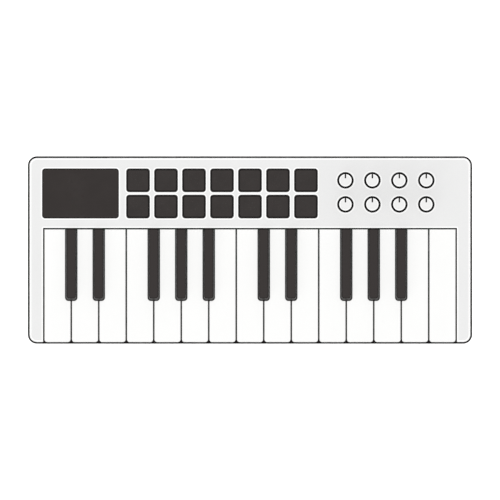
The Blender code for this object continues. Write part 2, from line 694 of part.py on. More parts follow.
def make_usb_socket():
    """A square peripheral socket that hangs under the control board, its mouth at the back."""
    back = TOP_BACK - FIT
    body = box("socket", USB_X - USB_WIDTH / 2, USB_X + USB_WIDTH / 2, back - USB_DEPTH, back, USB_LOW, USB_TOP)
    half, tall = USB_MOUTH[0] / 2, USB_MOUTH[1]
    base = (USB_LOW + USB_TOP - tall) / 2
    mouth = [
        (-half, base), (half, base), (half, base + tall - USB_CHAMFER), (half - USB_CHAMFER, base + tall),
        (USB_CHAMFER - half, base + tall), (-half, base + tall - USB_CHAMFER),
    ]
    pocket = plate("mouth", [mouth], -back - FIT, USB_MOUTH_DEPTH - back)
    pocket.data.transform(Matrix(((1, 0, 0, USB_X), (0, 0, -1, 0), (0, 1, 0, 0), (0, 0, 0, 1))))
    cut(body, pocket)
    part("usb_socket", body, NICKEL)


# ---- The case ------------------------------------------------------------------------------
def make_top_case():
    depth = TOP_BACK - TOP_FRONT
    radius = CORNER_RADIUS - RIM
    middle = (TOP_FRONT + TOP_BACK) / 2
    shell = plate("shell", [rounded(2 * TOP_HALF, depth, radius, 4, (0, middle))], UPPER_LOW, DECK_Z)
    soften(shell, DECK_Z - FIT, DECK_Z + FIT, EDGE_RADIUS, 2)
    inner = TOP_HALF - SIDE_WALL
    inner_back = TOP_BACK - SIDE_WALL
    hollow = plate("panel_hollow", [
        rounded(2 * inner, inner_back - PANEL_EDGE - LIP_WALL, radius - SIDE_WALL, 2,
                (0, (inner_back + PANEL_EDGE + LIP_WALL) / 2)),
    ], UPPER_LOW - FIT, DECK_LOW)
    cheeks = merged("cheek_hollows", [
        box("cheek", *sorted((side * (OPENING_HALF + LIP_WALL), side * inner)), TOP_FRONT + SIDE_WALL,
            PANEL_EDGE + 2 * LIP_WALL, UPPER_LOW - FIT, DECK_LOW)
        for side in (-1, 1)
    ])
    opening = box("key_opening", -OPENING_HALF, OPENING_HALF, TOP_FRONT - RIM, PANEL_EDGE,
                  UPPER_LOW - FIT, DECK_Z + FIT)
    tails = box("tail_slot", -OPENING_HALF, OPENING_HALF, PANEL_EDGE - FIT, PANEL_EDGE + 2 * LIP_WALL,
                UPPER_LOW - FIT, LIP_LOW)
    bosses = merged("screw_bosses", [
        plate("boss", [circle(x, y, BOSS_RADIUS)], UPPER_LOW, DECK_LOW + FIT) for x, y in SCREWS
    ])
    posts = merged("board_posts", [
        plate("post", [circle(x, y, POST_RADIUS, 8)], CONTROL_TOP + FIT, DECK_LOW + FIT) for x, y in POSTS
    ])
    pilots = merged("pilot_holes", [
        plate("pilot", [circle(x, y, PILOT_RADIUS, 8)], UPPER_LOW - FIT, DECK_LOW - 3.0 * MM)
        for x, y in SCREWS
    ])
    pads = plate("pad_openings", [
        rounded(PAD_OPENING, PAD_OPENING, PAD_CORNER, 2, place) for place in pad_places()
    ], DECK_LOW - FIT, DECK_Z + FIT)
    knobs = plate("knob_holes", [
        circle(x, y, KNOB_HOLE_RADIUS, 12) for x, y in knob_places()
    ], DECK_LOW - FIT, DECK_Z + FIT)
    at = (DISPLAY_X, DISPLAY_Y)
    recess = plate("window_recess", [rounded(DISPLAY_WIDTH, PADS_DEPTH, PAD_CORNER, 3, at)],
                   DECK_Z - WINDOW - FIT, DECK_Z + FIT)
    view = plate("window_opening", [
        rounded(DISPLAY_WIDTH - 2 * DISPLAY_LEDGE, PADS_DEPTH - 2 * DISPLAY_LEDGE, 1.0 * MM, 1, at),
    ], DECK_LOW - FIT, DECK_Z)
    cut(shell, hollow, cheeks, opening, tails)
    add(shell, bosses, posts)
    cut(shell, pilots, pads, knobs, recess, view, usb_clearance(UPPER_LOW - FIT))
    part("top_case", shell, LIGHT_PLASTIC)


FOOT_LENGTH = 2 * (CASE_HALF - FOOT_END_MARGIN)
FEET = {"front_foot": 14.5 * MM - CASE_DEPTH / 2, "rear_foot": REAR_SCREW_Y - 13.5 * MM}


def foot_outline(y, spare):
    return rounded(FOOT_LENGTH + 2 * spare, FOOT_WIDTH + 2 * spare, FOOT_WIDTH / 2 - MM, 3, (0, y))


def make_bottom_case():
    tray = plate("tray", [rounded(2 * CASE_HALF, CASE_DEPTH, CORNER_RADIUS, 4)], FOOT_HEIGHT, SPLIT_Z)
    soften(tray, FOOT_HEIGHT - FIT, FOOT_HEIGHT + FIT, EDGE_RADIUS, 2)
    wall = RIM + SIDE_WALL
    hollow = plate("tray_hollow", [
        rounded(2 * (CASE_HALF - wall), CASE_DEPTH - 2 * wall, CORNER_RADIUS - wall, 2),
    ], FLOOR_TOP, SPLIT_Z + FIT)
    bosses = merged("screw_bosses", [
        plate("boss", [circle(x, y, BASE_BOSS_RADIUS)], FLOOR_TOP - FIT, SPLIT_Z) for x, y in SCREWS
    ])
    pegs = merged("frame_pegs", [
        plate("peg", [circle(x, y, PEG_RADIUS, 8)], FLOOR_TOP - FIT, FRAME_TOP) for x, y in FRAME_PEGS
    ])
    shanks = merged("screw_holes", [
        plate("shank", [circle(x, y, SCREW_RADIUS, 8)], FOOT_HEIGHT, SPLIT_Z + FIT) for x, y in SCREWS
    ])
    heads = merged("head_recesses", [
        plate("head", [circle(x, y, HEAD_RADIUS)], FOOT_HEIGHT - FIT, FOOT_HEIGHT + HEAD_DEPTH)
        for x, y in SCREWS
    ])
    grooves = plate("foot_grooves", [foot_outline(y, FIT) for y in FEET.values()],
                    FOOT_HEIGHT - FIT, FOOT_HEIGHT + FOOT_SINK)
    cut(tray, hollow)
    add(tray, bosses, pegs)
    cut(tray, shanks, heads, grooves, usb_clearance(USB_LOW - FIT))
    part("bottom_case", tray, DARK_PLASTIC)


def make_feet():
    for name, y in FEET.items():
        foot = plate(name, [foot_outline(y, 0.0)], 0.0, FOOT_HEIGHT + FOOT_SINK - FIT)
        part(name, foot, FOOT_RUBBER)


# ---- Building it all -----------------------------------------------------------------------
for old in list(bpy.data.objects):
    bpy.data.objects.remove(old)
MODEL = collection("midi_keyboard")
CUTTERS = collection("cutters")
LIGHT_PLASTIC = material("light_plastic", (0.85, 0.85, 0.85), 0.45)
DARK_PLASTIC = material("dark_plastic", (0.048, 0.042, 0.041), 0.5)
WHITE_PLASTIC = material("white_plastic", (0.95, 0.95, 0.94), 0.25)
BLACK_PLASTIC = material("black_plastic", (0.048, 0.042, 0.041), 0.35)
PAD_RUBBER = material("pad_rubber", (0.048, 0.042, 0.041), 0.7)
KNOB_RUBBER = material("knob_rubber", (0.02, 0.018, 0.018), 0.6)
SMOKED_ACRYLIC = material("smoked_acrylic", (0.048, 0.042, 0.041), 0.08)
DARK_GLASS = material("dark_glass", (0.01, 0.01, 0.012), 0.1)
FRAME_PLASTIC = material("frame_plastic", (0.03, 0.03, 0.03), 0.5)
STEEL = material("steel", (0.6, 0.6, 0.62), 0.3, 1.0)
NICKEL = material("nickel", (0.7, 0.69, 0.66), 0.3, 1.0)
CIRCUIT_BOARD = material("circuit_board", (0.012, 0.02, 0.015), 0.4)
DOME_RUBBER = material("dome_rubber", (0.06, 0.06, 0.062), 0.7)
DARK_FELT = material("dark_felt", (0.025, 0.023, 0.023), 0.95)
FOOT_RUBBER = material("foot_rubber", (0.02, 0.02, 0.02), 0.8)
KEYS = key_layout()
make_bottom_case()
make_feet()
make_key_frame()
make_pivot_rod()
make_stop_felt()
make_contacts()
make_keys()
make_control_board()
make_usb_socket()
make_display()
make_pads()
make_knobs()
make_top_case()
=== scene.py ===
# %% [markdown]
# # A two-octave keyboard controller
#
# The object is a slim desk keyboard: a charcoal tray, a pale upper case with cheeks on both
# sides of twenty-five small keys, and a row of controls behind them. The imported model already
# holds every piece at its true size and on its true joint. This file gives each one the shape,
# edges and finish it has on the real thing, and leaves all sizes as they are.

# %% Load the frame
import math

import bmesh
import bpy
from mathutils import Matrix, Vector


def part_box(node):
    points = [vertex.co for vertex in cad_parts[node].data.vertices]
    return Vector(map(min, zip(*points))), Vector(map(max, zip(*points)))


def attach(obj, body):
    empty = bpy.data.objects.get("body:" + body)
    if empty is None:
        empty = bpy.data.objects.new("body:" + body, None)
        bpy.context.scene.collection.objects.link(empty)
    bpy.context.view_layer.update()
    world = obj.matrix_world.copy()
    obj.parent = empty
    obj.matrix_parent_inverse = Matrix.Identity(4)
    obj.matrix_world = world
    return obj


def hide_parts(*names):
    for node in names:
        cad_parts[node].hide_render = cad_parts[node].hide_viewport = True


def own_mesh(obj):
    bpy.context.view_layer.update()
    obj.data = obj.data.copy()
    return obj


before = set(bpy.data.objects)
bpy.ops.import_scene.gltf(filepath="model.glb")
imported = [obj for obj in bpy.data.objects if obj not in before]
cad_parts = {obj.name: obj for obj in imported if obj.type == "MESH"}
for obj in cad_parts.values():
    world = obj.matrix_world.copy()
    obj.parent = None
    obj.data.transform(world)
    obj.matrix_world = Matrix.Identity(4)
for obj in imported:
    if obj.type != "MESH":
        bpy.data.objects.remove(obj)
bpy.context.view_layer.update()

MM = 0.001

# %% [markdown]
# ## Sizes
#
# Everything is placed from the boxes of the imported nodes. What a box can't tell, such as how
# wide a moulded lip is, is a named value in the cell that first uses it.

# %% Read the places
TRAY_LOW, TRAY_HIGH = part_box("bottom_case")
CASE_LOW, CASE_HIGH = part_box("top_case")
WINDOW_LOW, WINDOW_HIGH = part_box("display_window")
SOCKET_LOW, SOCKET_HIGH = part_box("usb_socket")
BOARD_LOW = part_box("control_board")[0]
STRIP_LOW, STRIP_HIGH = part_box("contact_strip")
ROD_LOW, ROD_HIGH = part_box("pivot_rod")
DECK = CASE_HIGH.z
PIVOT = (ROD_LOW + ROD_HIGH) / 2
WHITES = [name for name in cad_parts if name.startswith("white_key")]
BLACKS = [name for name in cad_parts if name.startswith("black_key")]
PADS = [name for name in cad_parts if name.startswith("pad_")]
KNOBS = [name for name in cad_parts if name.startswith("knob_")]
print(f"deck {DECK / MM:.1f} mm up, {len(WHITES)} white and {len(BLACKS)} black keys")


# %% [markdown]
# ## Tools for shapes
#
# Two ways of making a moulded shape cover nearly the whole object. A **plate** is a flat curve
# with thickness: its bevel rounds every rim, round a hole as well as outside. A **loft** runs
# a skin through rings of equal length, which suits a key or a pad, whose edge is one outline
# drawn a little smaller at each step of the rounding.

# %% Outlines
def arc(x, y, radius, start, end, steps):
    """Points on an arc between two angles in degrees, both ends included."""
    turns = [math.radians(start + (end - start) * i / steps) for i in range(steps + 1)]
    return [(x + radius * math.cos(turn), y + radius * math.sin(turn)) for turn in turns]


def circle(x, y, radius, steps=48):
    """A closed circle, without the last point twice."""
    return arc(x, y, radius, 0, 360, steps)[:-1]


def rounded(low, high, radius, steps=8):
    """A rectangle between two corners, with round corners."""
    left, right, near, far = low[0] + radius, high[0] - radius, low[1] + radius, high[1] - radius
    points = []
    for x, y, start in ((right, far, 0), (left, far, 90), (left, near, 180), (right, near, 270)):
        points += arc(x, y, radius, start, start + 90, steps)
    return points


def grown(low, high, by):
    """The corners of a rectangle moved outwards."""
    return (low[0] - by, low[1] - by), (high[0] + by, high[1] + by)


def quarter_round(radius, steps=5):
    """(inset, drop) pairs from the wall to the top of a rounded edge."""
    turns = [math.radians(90 * i / steps) for i in range(steps + 1)]
    return [(radius * (1 - math.cos(turn)), radius * (1 - math.sin(turn))) for turn in turns]


print("a round corner takes", len(rounded((0, 0), (1, 1), 0.2)) // 4, "points")


# %% Plates
def object_from(name, data):
    """An object in the scene that holds this mesh, curve, camera or light."""
    obj = bpy.data.objects.new(name, data)
    bpy.context.scene.collection.objects.link(obj)
    return obj


def evaluated(obj, name=None):
    """The mesh that an object's curve, modifiers or nodes make. The object is used up."""
    bpy.context.view_layer.update()
    graph = bpy.context.evaluated_depsgraph_get()
    mesh = bpy.data.meshes.new_from_object(obj.evaluated_get(graph))
    mesh.name = name or obj.name
    bpy.data.objects.remove(obj)
    return mesh


WELD = 0.0005 * MM


def cleaned(mesh):
    """Welds the caps and turns every face outwards."""
    work = bmesh.new()
    work.from_mesh(mesh)
    bmesh.ops.remove_doubles(work, verts=work.verts, dist=WELD)
    bmesh.ops.recalc_face_normals(work, faces=work.faces)
    work.to_mesh(mesh)
    work.free()
    return mesh


def plate(name, outlines, low, high, edge=0.0, steps=3):
    """A mesh with this outline, these holes and this rounding, between two heights."""
    curve = bpy.data.curves.new(name, "CURVE")
    curve.dimensions = "2D"
    curve.fill_mode = "BOTH"
    curve.extrude = (high - low) / 2 - edge
    curve.bevel_depth = edge
    curve.bevel_resolution = steps
    curve.offset = -edge
    for outline in outlines:
        spline = curve.splines.new("POLY")
        spline.points.add(len(outline) - 1)
        for point, (x, y) in zip(spline.points, outline):
            point.co = (x, y, 0.0, 1.0)
        spline.use_cyclic_u = True
    mesh = evaluated(object_from(name, curve))
    mesh.transform(Matrix.Translation((0, 0, (low + high) / 2)))
    return cleaned(mesh)


def bar(name, outlines, low, high, edge=0.0, steps=3):
    """A plate on its side: the outline is in Y and Z, and the thickness runs along X."""
    mesh = plate(name, outlines, low, high, edge, steps)
    mesh.transform(Matrix(((0, 0, 1, 0), (1, 0, 0, 0), (0, 1, 0, 0), (0, 0, 0, 1))))
    return mesh


print("a plate's rim is welded within", WELD / MM, "mm")


# %% Lofts and turned shapes
def loft(name, rings, slots=None):
    """A closed skin through rings of 3D points. slots gives each band's material index."""
    work = bmesh.new()
    made = [[work.verts.new(point) for point in ring] for ring in rings]
    for index, (lower, upper) in enumerate(zip(made, made[1:])):
        for i in range(len(lower)):
            corners = (lower[i - 1], lower[i], upper[i], upper[i - 1])
            work.faces.new(corners).material_index = slots[index] if slots else 0
    work.faces.new(made[0])
    work.faces.new(made[-1])
    bmesh.ops.recalc_face_normals(work, faces=work.faces)
    mesh = bpy.data.meshes.new(name)
    work.to_mesh(mesh)
    work.free()
    return mesh


def level(outline, height):
    """An outline as a ring at one height."""
    return [(x, y, height) for x, y in outline]


def turned(name, profile, at=(0.0, 0.0), steps=64, slots=None):
    """A solid of revolution from (radius, height) pairs, closed at both ends."""
    rings = [level(circle(*at, radius, steps), height) for radius, height in profile]
    return loft(name, rings, slots)


print("a turned solid has", len(circle(0, 0, 1, 64)), "sides unless it says fewer")

# %% [markdown]
# ## Joining, cutting and finishing
#
# A moulding often has two finishes, such as a grained face and a polished rim; here most second and
# third finishes are a painted highlight or painted shade on a rim or in a recess. Blender keeps one
# material number for each face, and both joining meshes and exact Booleans carry it along, so the
# numbers are set on the simple shapes, where it is easy, and survive into the finished one.

# %% Joined and carved meshes
def joined(name, meshes, offset=(0.0, 0.0, 0.0)):
    """Several meshes as one, keeping their material slots' numbers."""
    work = bmesh.new()
    for mesh in meshes:
        work.from_mesh(mesh)
    bmesh.ops.translate(work, verts=work.verts, vec=offset)
    mesh = bpy.data.meshes.new(name)
    work.to_mesh(mesh)
    work.free()
    return mesh


def painted(mesh, finishes):
    """Gives a mesh its finishes in order. Clearing the old ones would reset each face's slot."""
    slots = [polygon.material_index for polygon in mesh.polygons]
    mesh.materials.clear()
    for finish in finishes:
        mesh.materials.append(finish)
    mesh.polygons.foreach_set("material_index", slots)
    return mesh


def carved(name, finishes, solid, cuts=(), additions=()):
    """A mesh after exact Booleans: additions are joined first, then the cuts are taken away.

    All the meshes get the same finishes, so that a cut face keeps its cutter's slot.
    """
    for mesh in (solid, *cuts, *additions):
        painted(mesh, finishes)
    body = object_from(name, solid)
    tools = []
    for operation, meshes in (("UNION", additions), ("DIFFERENCE", cuts)):
        for mesh in meshes:
            tool = object_from(mesh.name, mesh)
            tools.append(tool)
            modifier = body.modifiers.new(mesh.name, "BOOLEAN")
            modifier.operation = operation
            modifier.solver = "EXACT"
            modifier.object = tool
    mesh = evaluated(body, name)
    for tool in tools:
        bpy.data.objects.remove(tool)
    return mesh


print("Booleans run from", joined.__name__, "meshes through", carved.__name__)


# %% Rims and pieces
def rimmed(mesh, above, least=16, most=89):
    """Gives the second slot, the rims' painted shade, to faces above a height whose slope is
    between two angles.
    """
    high, low = math.cos(math.radians(least)), math.cos(math.radians(most))
    for polygon in mesh.polygons:
        if low < polygon.normal.z < high and polygon.center.z > above:
            polygon.material_index = 1
    return mesh


SMOOTH = 35


def piece(name, mesh, body, slot, *finishes, stands_for=(), smooth=SMOOTH):
    """A finished piece: its mesh, the body it rides on, its finishes and what it replaces. slot is
    not used.
    """
    painted(mesh, finishes)
    mesh.shade_smooth()
    mesh.set_sharp_from_angle(angle=math.radians(smooth))
    obj = object_from(name, mesh)
    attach(obj, body)
    if stands_for:
        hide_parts(*stands_for)
    return obj


print("a piece is smooth up to", SMOOTH, "degrees unless it says otherwise")


# %% [markdown]
# ## Sums on sockets
#
# A finish varies from place to place, and that takes arithmetic on noise. `Wire` wraps an
# output socket so that the arithmetic can be written as sums. `Nodes` adds one node at a time
# to any tree, its settings first and its sockets after them, and `Finish` is a material made
# with it.

# %% Wires
class Wire:
    """A value on its way from one node to another."""

    def __init__(self, nodes, socket):
        self.nodes, self.socket = nodes, socket

    def __add__(self, other):
        return self.nodes.sum("ADD", self, other)

    def __sub__(self, other):
        return self.nodes.sum("SUBTRACT", self, other)

    def __rsub__(self, other):
        return self.nodes.sum("SUBTRACT", other, self)

    def __mul__(self, other):
        return self.nodes.sum("MULTIPLY", self, other)

    __radd__, __rmul__ = __add__, __mul__

    def between(self, low, high):
        """This value stretched so that low becomes 0 and high becomes 1, and held there."""
        sockets = {"Value": self, "From Min": low, "From Max": high}
        return self.nodes.node("ShaderNodeMapRange", {"clamp": True}, sockets)


print("sums run on", Wire.__name__)


# %% Node trees
class Nodes:
    """A node tree that grows by one node at a time."""

    def __init__(self, tree):
        self.tree = tree

    def node(self, kind, settings, sockets, output=0):
        """Adds a node: its settings, then its sockets' values or links. Gives one output."""
        made = self.tree.nodes.new(kind)
        for name, value in settings.items():
            setattr(made, name, value)
        for name, value in sockets.items():
            self.feed(made.inputs[name], value)
        return Wire(self, made.outputs[output])

    def feed(self, socket, value):
        """Gives a socket its value or its link."""
        if isinstance(value, Wire):
            self.tree.links.new(value.socket, socket)
        else:
            socket.default_value = value

    def sum(self, operation, *values):
        return self.node("ShaderNodeMath", {"operation": operation}, dict(enumerate(values)))


class Shader(Nodes):
    """A tree that ends in a shader node which is already there."""

    def __init__(self, tree, shader):
        super().__init__(tree)
        self.shader = tree.nodes[shader]

    def set(self, name, value):
        self.feed(self.shader.inputs[name], value)


print("trees grow in", Nodes.__name__, "and end in", Shader.__name__)


# %% Finishes
class Finish(Shader):
    """A material on a Principled shader, built up in Object coordinates."""

    def __init__(self, name, colour, roughness, metallic=0.0, specular=0.5, coat=0.0):
        self.material = bpy.data.materials.new(name)
        self.material.use_nodes = True
        super().__init__(self.material.node_tree, "Principled BSDF")
        self.colour = colour
        self.set("Base Color", (*colour, 1.0))
        self.set("Roughness", roughness)
        self.set("Metallic", metallic)
        self.set("Specular IOR Level", specular)
        self.set("Coat Weight", coat)
        self.place = self.node("ShaderNodeTexCoord", {}, {}, "Object")

    def noise(self, size, detail=2.0, stretch=(1.0, 1.0, 1.0), output="Fac"):
        """Cloudy noise whose lumps are about this size, in metres."""
        scale = self.node("ShaderNodeMapping", {}, {"Vector": self.place, "Scale": stretch})
        sockets = {"Vector": scale, "Scale": 1 / size, "Detail": detail, "Roughness": 0.5}
        return self.node("ShaderNodeTexNoise", {}, sockets, output)

    def cells(self, size):
        """Distance to the nearest of many scattered points, for grain and pores."""
        sockets = {"Vector": self.place, "Scale": 1 / size}
        return self.node("ShaderNodeTexVoronoi", {"feature": "F1"}, sockets, "Distance")

    def along(self, axis):
        """The place along one axis, in metres."""
        return self.node("ShaderNodeSeparateXYZ", {}, {"Vector": self.place}, axis)

    def tint(self, factor, first, second):
        """A colour that goes from first to second as the factor goes from 0 to 1."""
        settings = {"data_type": "RGBA", "clamp_factor": True}
        wide = [(*c, 1.0) if isinstance(c, tuple) else c for c in (first, second)]
        return self.node("ShaderNodeMix", settings, {0: factor, 6: wide[0], 7: wide[1]}, 2)

    def bump(self, height, depth, below=None):
        """A normal from a height map. depth is in metres, and below is a bump to build on."""
        sockets = {"Height": height, "Distance": depth, "Strength": 1.0}
        if below:
            sockets["Normal"] = below
        return self.node("ShaderNodeBump", {}, sockets, "Normal")

    def shade(self, amount):
        """This finish's colour times an amount."""
        return tuple(channel * amount for channel in self.colour)


print("finishes use", Finish.__name__)


# %% [markdown]
# ## Moulded plastics
#
# The tray, the upper case and the black keys are injection moulded in a steel tool that was
# spark eroded, which leaves a fine even grain. Grain takes two scales: rounded pits about
# 0.4 mm across, and a much slower cloudiness where the plastic flowed and cooled at different
# rates. The first goes into the bump and the roughness, and the pits' middles are painted a
# little darker as painted shade; the second barely into the colour.

# %% Grained plastic
def grained_plastic(name, colour, roughness, specular, grain=0.45 * MM, depth=0.02 * MM):
    finish = Finish(name, colour, roughness, specular=specular)
    pits = finish.cells(grain)
    flow = finish.noise(38 * MM, 3.0)
    dust = finish.noise(2.2 * MM, 4.0)
    # The pits' middles are painted darker as painted shade; flow and dust only vary the tone.
    light = pits.between(0.0, 0.45) * 0.5 + flow * 0.35 + dust * 0.15
    finish.set("Base Color", finish.tint(light, finish.shade(0.93), finish.shade(1.04)))
    finish.set("Roughness", pits * 0.06 + flow * 0.08 + (roughness - 0.06))
    fine = finish.bump(finish.noise(0.12 * MM, 1.0), depth / 3)
    finish.set("Normal", finish.bump(pits, depth, fine))
    return finish.material


def charcoal_rim():
    """The rims of the dark pieces, painted near black as painted shade: no grain and no dust, and a
    little random tone.
    """
    finish = Finish("charcoal_rim", (0.011, 0.01, 0.01), 0.75, specular=0.08)
    rub = finish.noise(8 * MM, 2.0)
    finish.set("Base Color", finish.tint(rub, finish.shade(0.9), finish.shade(1.15)))
    finish.set("Roughness", 0.8 - rub * 0.1)
    finish.set("Normal", finish.bump(finish.noise(0.2 * MM, 1.0), 0.003 * MM))
    return finish.material


# Painted shade: the near-black finish for rims, ledges and recesses.
RIM_PAINTED_SHADE = charcoal_rim()
PALE_CASE = grained_plastic("pale_case_plastic", (0.698, 0.698, 0.696), 0.52, 0.35)
CHARCOAL_CASE = grained_plastic("charcoal_case_plastic", (0.036, 0.032, 0.031), 0.55, 0.3)
CHARCOAL_KEY = grained_plastic("charcoal_key_plastic", (0.0375, 0.0328, 0.0318), 0.5, 0.2,
                               0.3 * MM, 0.01 * MM)
FRAME_PLASTIC = grained_plastic("frame_plastic", (0.02, 0.02, 0.02), 0.6, 0.3)
print("grained plastics:", PALE_CASE.name, CHARCOAL_CASE.name, CHARCOAL_KEY.name)


# %% [markdown]
# ## Glossy plastics
#
# White keys come out of a polished tool. Under the gloss there is orange peel, a swell a few
# millimetres wide and a few thousandths deep, and the play area towards the player is rubbed
# to a slightly lower gloss by fingers. The moulded lips round the openings are polished too,
# and painted much brighter than the deck as a painted highlight, and the knob caps are
# polished and a little brighter than the deck.

# %% Polished plastic
def polished_plastic(name, colour, roughness, specular=0.5, coat=0.15):
    finish = Finish(name, colour, roughness, specular=specular, coat=coat)
    peel = finish.noise(3.5 * MM, 1.0)
    cloud = finish.noise(27 * MM, 2.0)
    scuffs = finish.noise(1.1 * MM, 5.0, (1.0, 0.18, 1.0)).between(0.52, 0.72)
    finish.set("Base Color", finish.tint(cloud, finish.shade(0.985), finish.shade(1.01)))
    finish.set("Roughness", scuffs * 0.12 + cloud * 0.05 + roughness)
    finish.set("Normal", finish.bump(peel, 0.004 * MM))
    return finish


def key_white():
    finish = polished_plastic("white_key_plastic", (0.825, 0.825, 0.818), 0.2)
    played = finish.along("Y").between(10 * MM, -60 * MM)
    touch = played * finish.noise(9 * MM, 2.0).between(0.3, 0.8)
    finish.set("Roughness", touch * 0.08 + 0.2)
    return finish.material


WHITE_KEY = key_white()
# Painted highlight: the lips, the case's rounded top edge, the knob seats and the caps' rims take
# this bright finish.
LIP_PAINTED_HIGHLIGHT = polished_plastic("bright_lip_plastic", (0.9, 0.9, 0.895), 0.3).material
CAP_PLASTIC = polished_plastic("knob_cap_plastic", (0.735, 0.735, 0.73), 0.3).material
print("polished plastics:", WHITE_KEY.name, LIP_PAINTED_HIGHLIGHT.name, CAP_PLASTIC.name)


# %% [markdown]
# ## Rubbers
#
# Pads and feet are silicone rubber. It is matt because its surface is full of tiny pits, and
# it always carries a little lint and finger grease, so its roughness is patchy. The knobs'
# sleeves are a harder rubber with less of both.

# %% Silicone
def silicone(name, colour, roughness, lint=0.25, pore=0.22 * MM):
    finish = Finish(name, colour, roughness, specular=0.28)
    pores = finish.cells(pore)
    grease = finish.noise(6 * MM, 3.0).between(0.4, 0.7)
    specks = finish.noise(0.5 * MM, 2.0).between(0.62, 0.78)
    bare = finish.tint(grease, finish.shade(1.0), finish.shade(0.9))
    finish.set("Base Color", finish.tint(specks * lint, bare, (0.2, 0.195, 0.19)))
    finish.set("Roughness", roughness - grease * 0.12)
    finish.set("Normal", finish.bump(pores, 0.01 * MM))
    return finish.material


PAD_SILICONE = silicone("pad_silicone", (0.038, 0.0334, 0.0322), 0.75)
SLEEVE_RUBBER = silicone("knob_sleeve_rubber", (0.007, 0.0065, 0.0065), 0.7, 0.03)
FOOT_RUBBER = silicone("foot_rubber", (0.02, 0.02, 0.02), 0.85, 0.4)
DOME_RUBBER = silicone("dome_rubber", (0.06, 0.06, 0.062), 0.7, 0.1)
print("rubbers:", PAD_SILICONE.name, SLEEVE_RUBBER.name, FOOT_RUBBER.name, DOME_RUBBER.name)


# %% [markdown]
# ## Acrylic, metals, boards and felt
#
# The display's window is smoked acrylic: almost black, very smooth, with hairline scratches
# that only show in the gloss. The socket's shell is nickel plated and brushed by its press
# tool, the rod is drawn steel, with its lines along its length, and the boards carry a dark
# solder mask with the weave of the glass cloth just showing.

# %% Acrylic and metals
def smoked_acrylic():
    finish = Finish("smoked_acrylic", (0.0315, 0.027, 0.0258), 0.08, specular=0.4, coat=0.25)
    hairs = finish.noise(0.7 * MM, 6.0, (0.05, 1.0, 1.0)).between(0.6, 0.75)
    smears = finish.noise(14 * MM, 3.0).between(0.35, 0.8)
    finish.set("Base Color", finish.tint(smears, finish.shade(1.0), finish.shade(1.12)))
    finish.set("Roughness", hairs * 0.1 + smears * 0.08 + 0.06)
    finish.set("Normal", finish.bump(hairs, 0.0006 * MM))
    return finish.material


def drawn_metal(name, colour, roughness, stretch):
    finish = Finish(name, colour, roughness, metallic=1.0)
    lines = finish.noise(0.25 * MM, 3.0, stretch)
    stain = finish.noise(5 * MM, 3.0).between(0.45, 0.8)
    finish.set("Base Color", finish.tint(stain, finish.shade(1.0), finish.shade(0.8)))
    finish.set("Roughness", lines * 0.18 + stain * 0.1 + (roughness - 0.08))
    finish.set("Normal", finish.bump(lines, 0.003 * MM))
    return finish.material


ACRYLIC = smoked_acrylic()
NICKEL = drawn_metal("nickel_shell", (0.66, 0.64, 0.6), 0.3, (1.0, 0.08, 1.0))
STEEL = drawn_metal("drawn_steel", (0.55, 0.55, 0.56), 0.32, (0.04, 1.0, 1.0))
GOLD = drawn_metal("gold_contacts", (0.83, 0.6, 0.25), 0.25, (1.0, 0.1, 1.0))
SCREW_STEEL = drawn_metal("blackened_screws", (0.09, 0.09, 0.095), 0.4, (1.0, 1.0, 1.0))
print("metals:", NICKEL.name, STEEL.name, GOLD.name, SCREW_STEEL.name)


# %% Boards and felt
def circuit_board():
    finish = Finish("circuit_board", (0.012, 0.02, 0.015), 0.35)
    cloth = finish.node("ShaderNodeTexBrick", {"offset": 0.5}, {
        "Vector": finish.place, "Scale": 1 / (3 * MM), "Mortar Size": 0.06,
    }, "Fac")
    mask = finish.noise(4 * MM, 3.0)
    light = mask * 0.6 + cloth * 0.2
    finish.set("Base Color", finish.tint(light, finish.shade(0.8), finish.shade(1.7)))
    finish.set("Roughness", mask * 0.15 + 0.3)
    finish.set("Normal", finish.bump(cloth, 0.006 * MM))
    return finish.material


def felt():
    finish = Finish("dark_felt", (0.025, 0.023, 0.023), 0.95, specular=0.1)
    hairs = finish.noise(0.35 * MM, 6.0, (1.0, 0.35, 1.0))
    finish.set("Base Color", finish.tint(hairs, finish.shade(0.5), finish.shade(1.8)))
    finish.set("Roughness", hairs * 0.08 + 0.9)
    finish.set("Normal", finish.bump(hairs, 0.12 * MM))
    return finish.material


BOARD = circuit_board()
FELT = felt()
for node, finish in {
    "key_frame": FRAME_PLASTIC, "contact_board": BOARD, "control_board": BOARD,
    "stop_felt": FELT, "display_module": ACRYLIC,
}.items():
    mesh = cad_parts[node].data
    mesh.materials.clear()
    mesh.materials.append(finish)
print("inner nodes carry", BOARD.name, FELT.name, FRAME_PLASTIC.name)

# %% [markdown]
# ## White keys
#
# A white key is a thin shell: a full-width head, and a stem cut back where a black key stands
# beside it. Its outline is one rule with an inset, so the rounded rim, the outer wall and the
# hollow inside are all that outline at different insets and heights, and one loft makes them.
# The beam behind the key, with the eye for the pivot rod, is a plate on its side. It is black
# nylon, which runs on steel without grease, and the white shell is moulded over its front end.

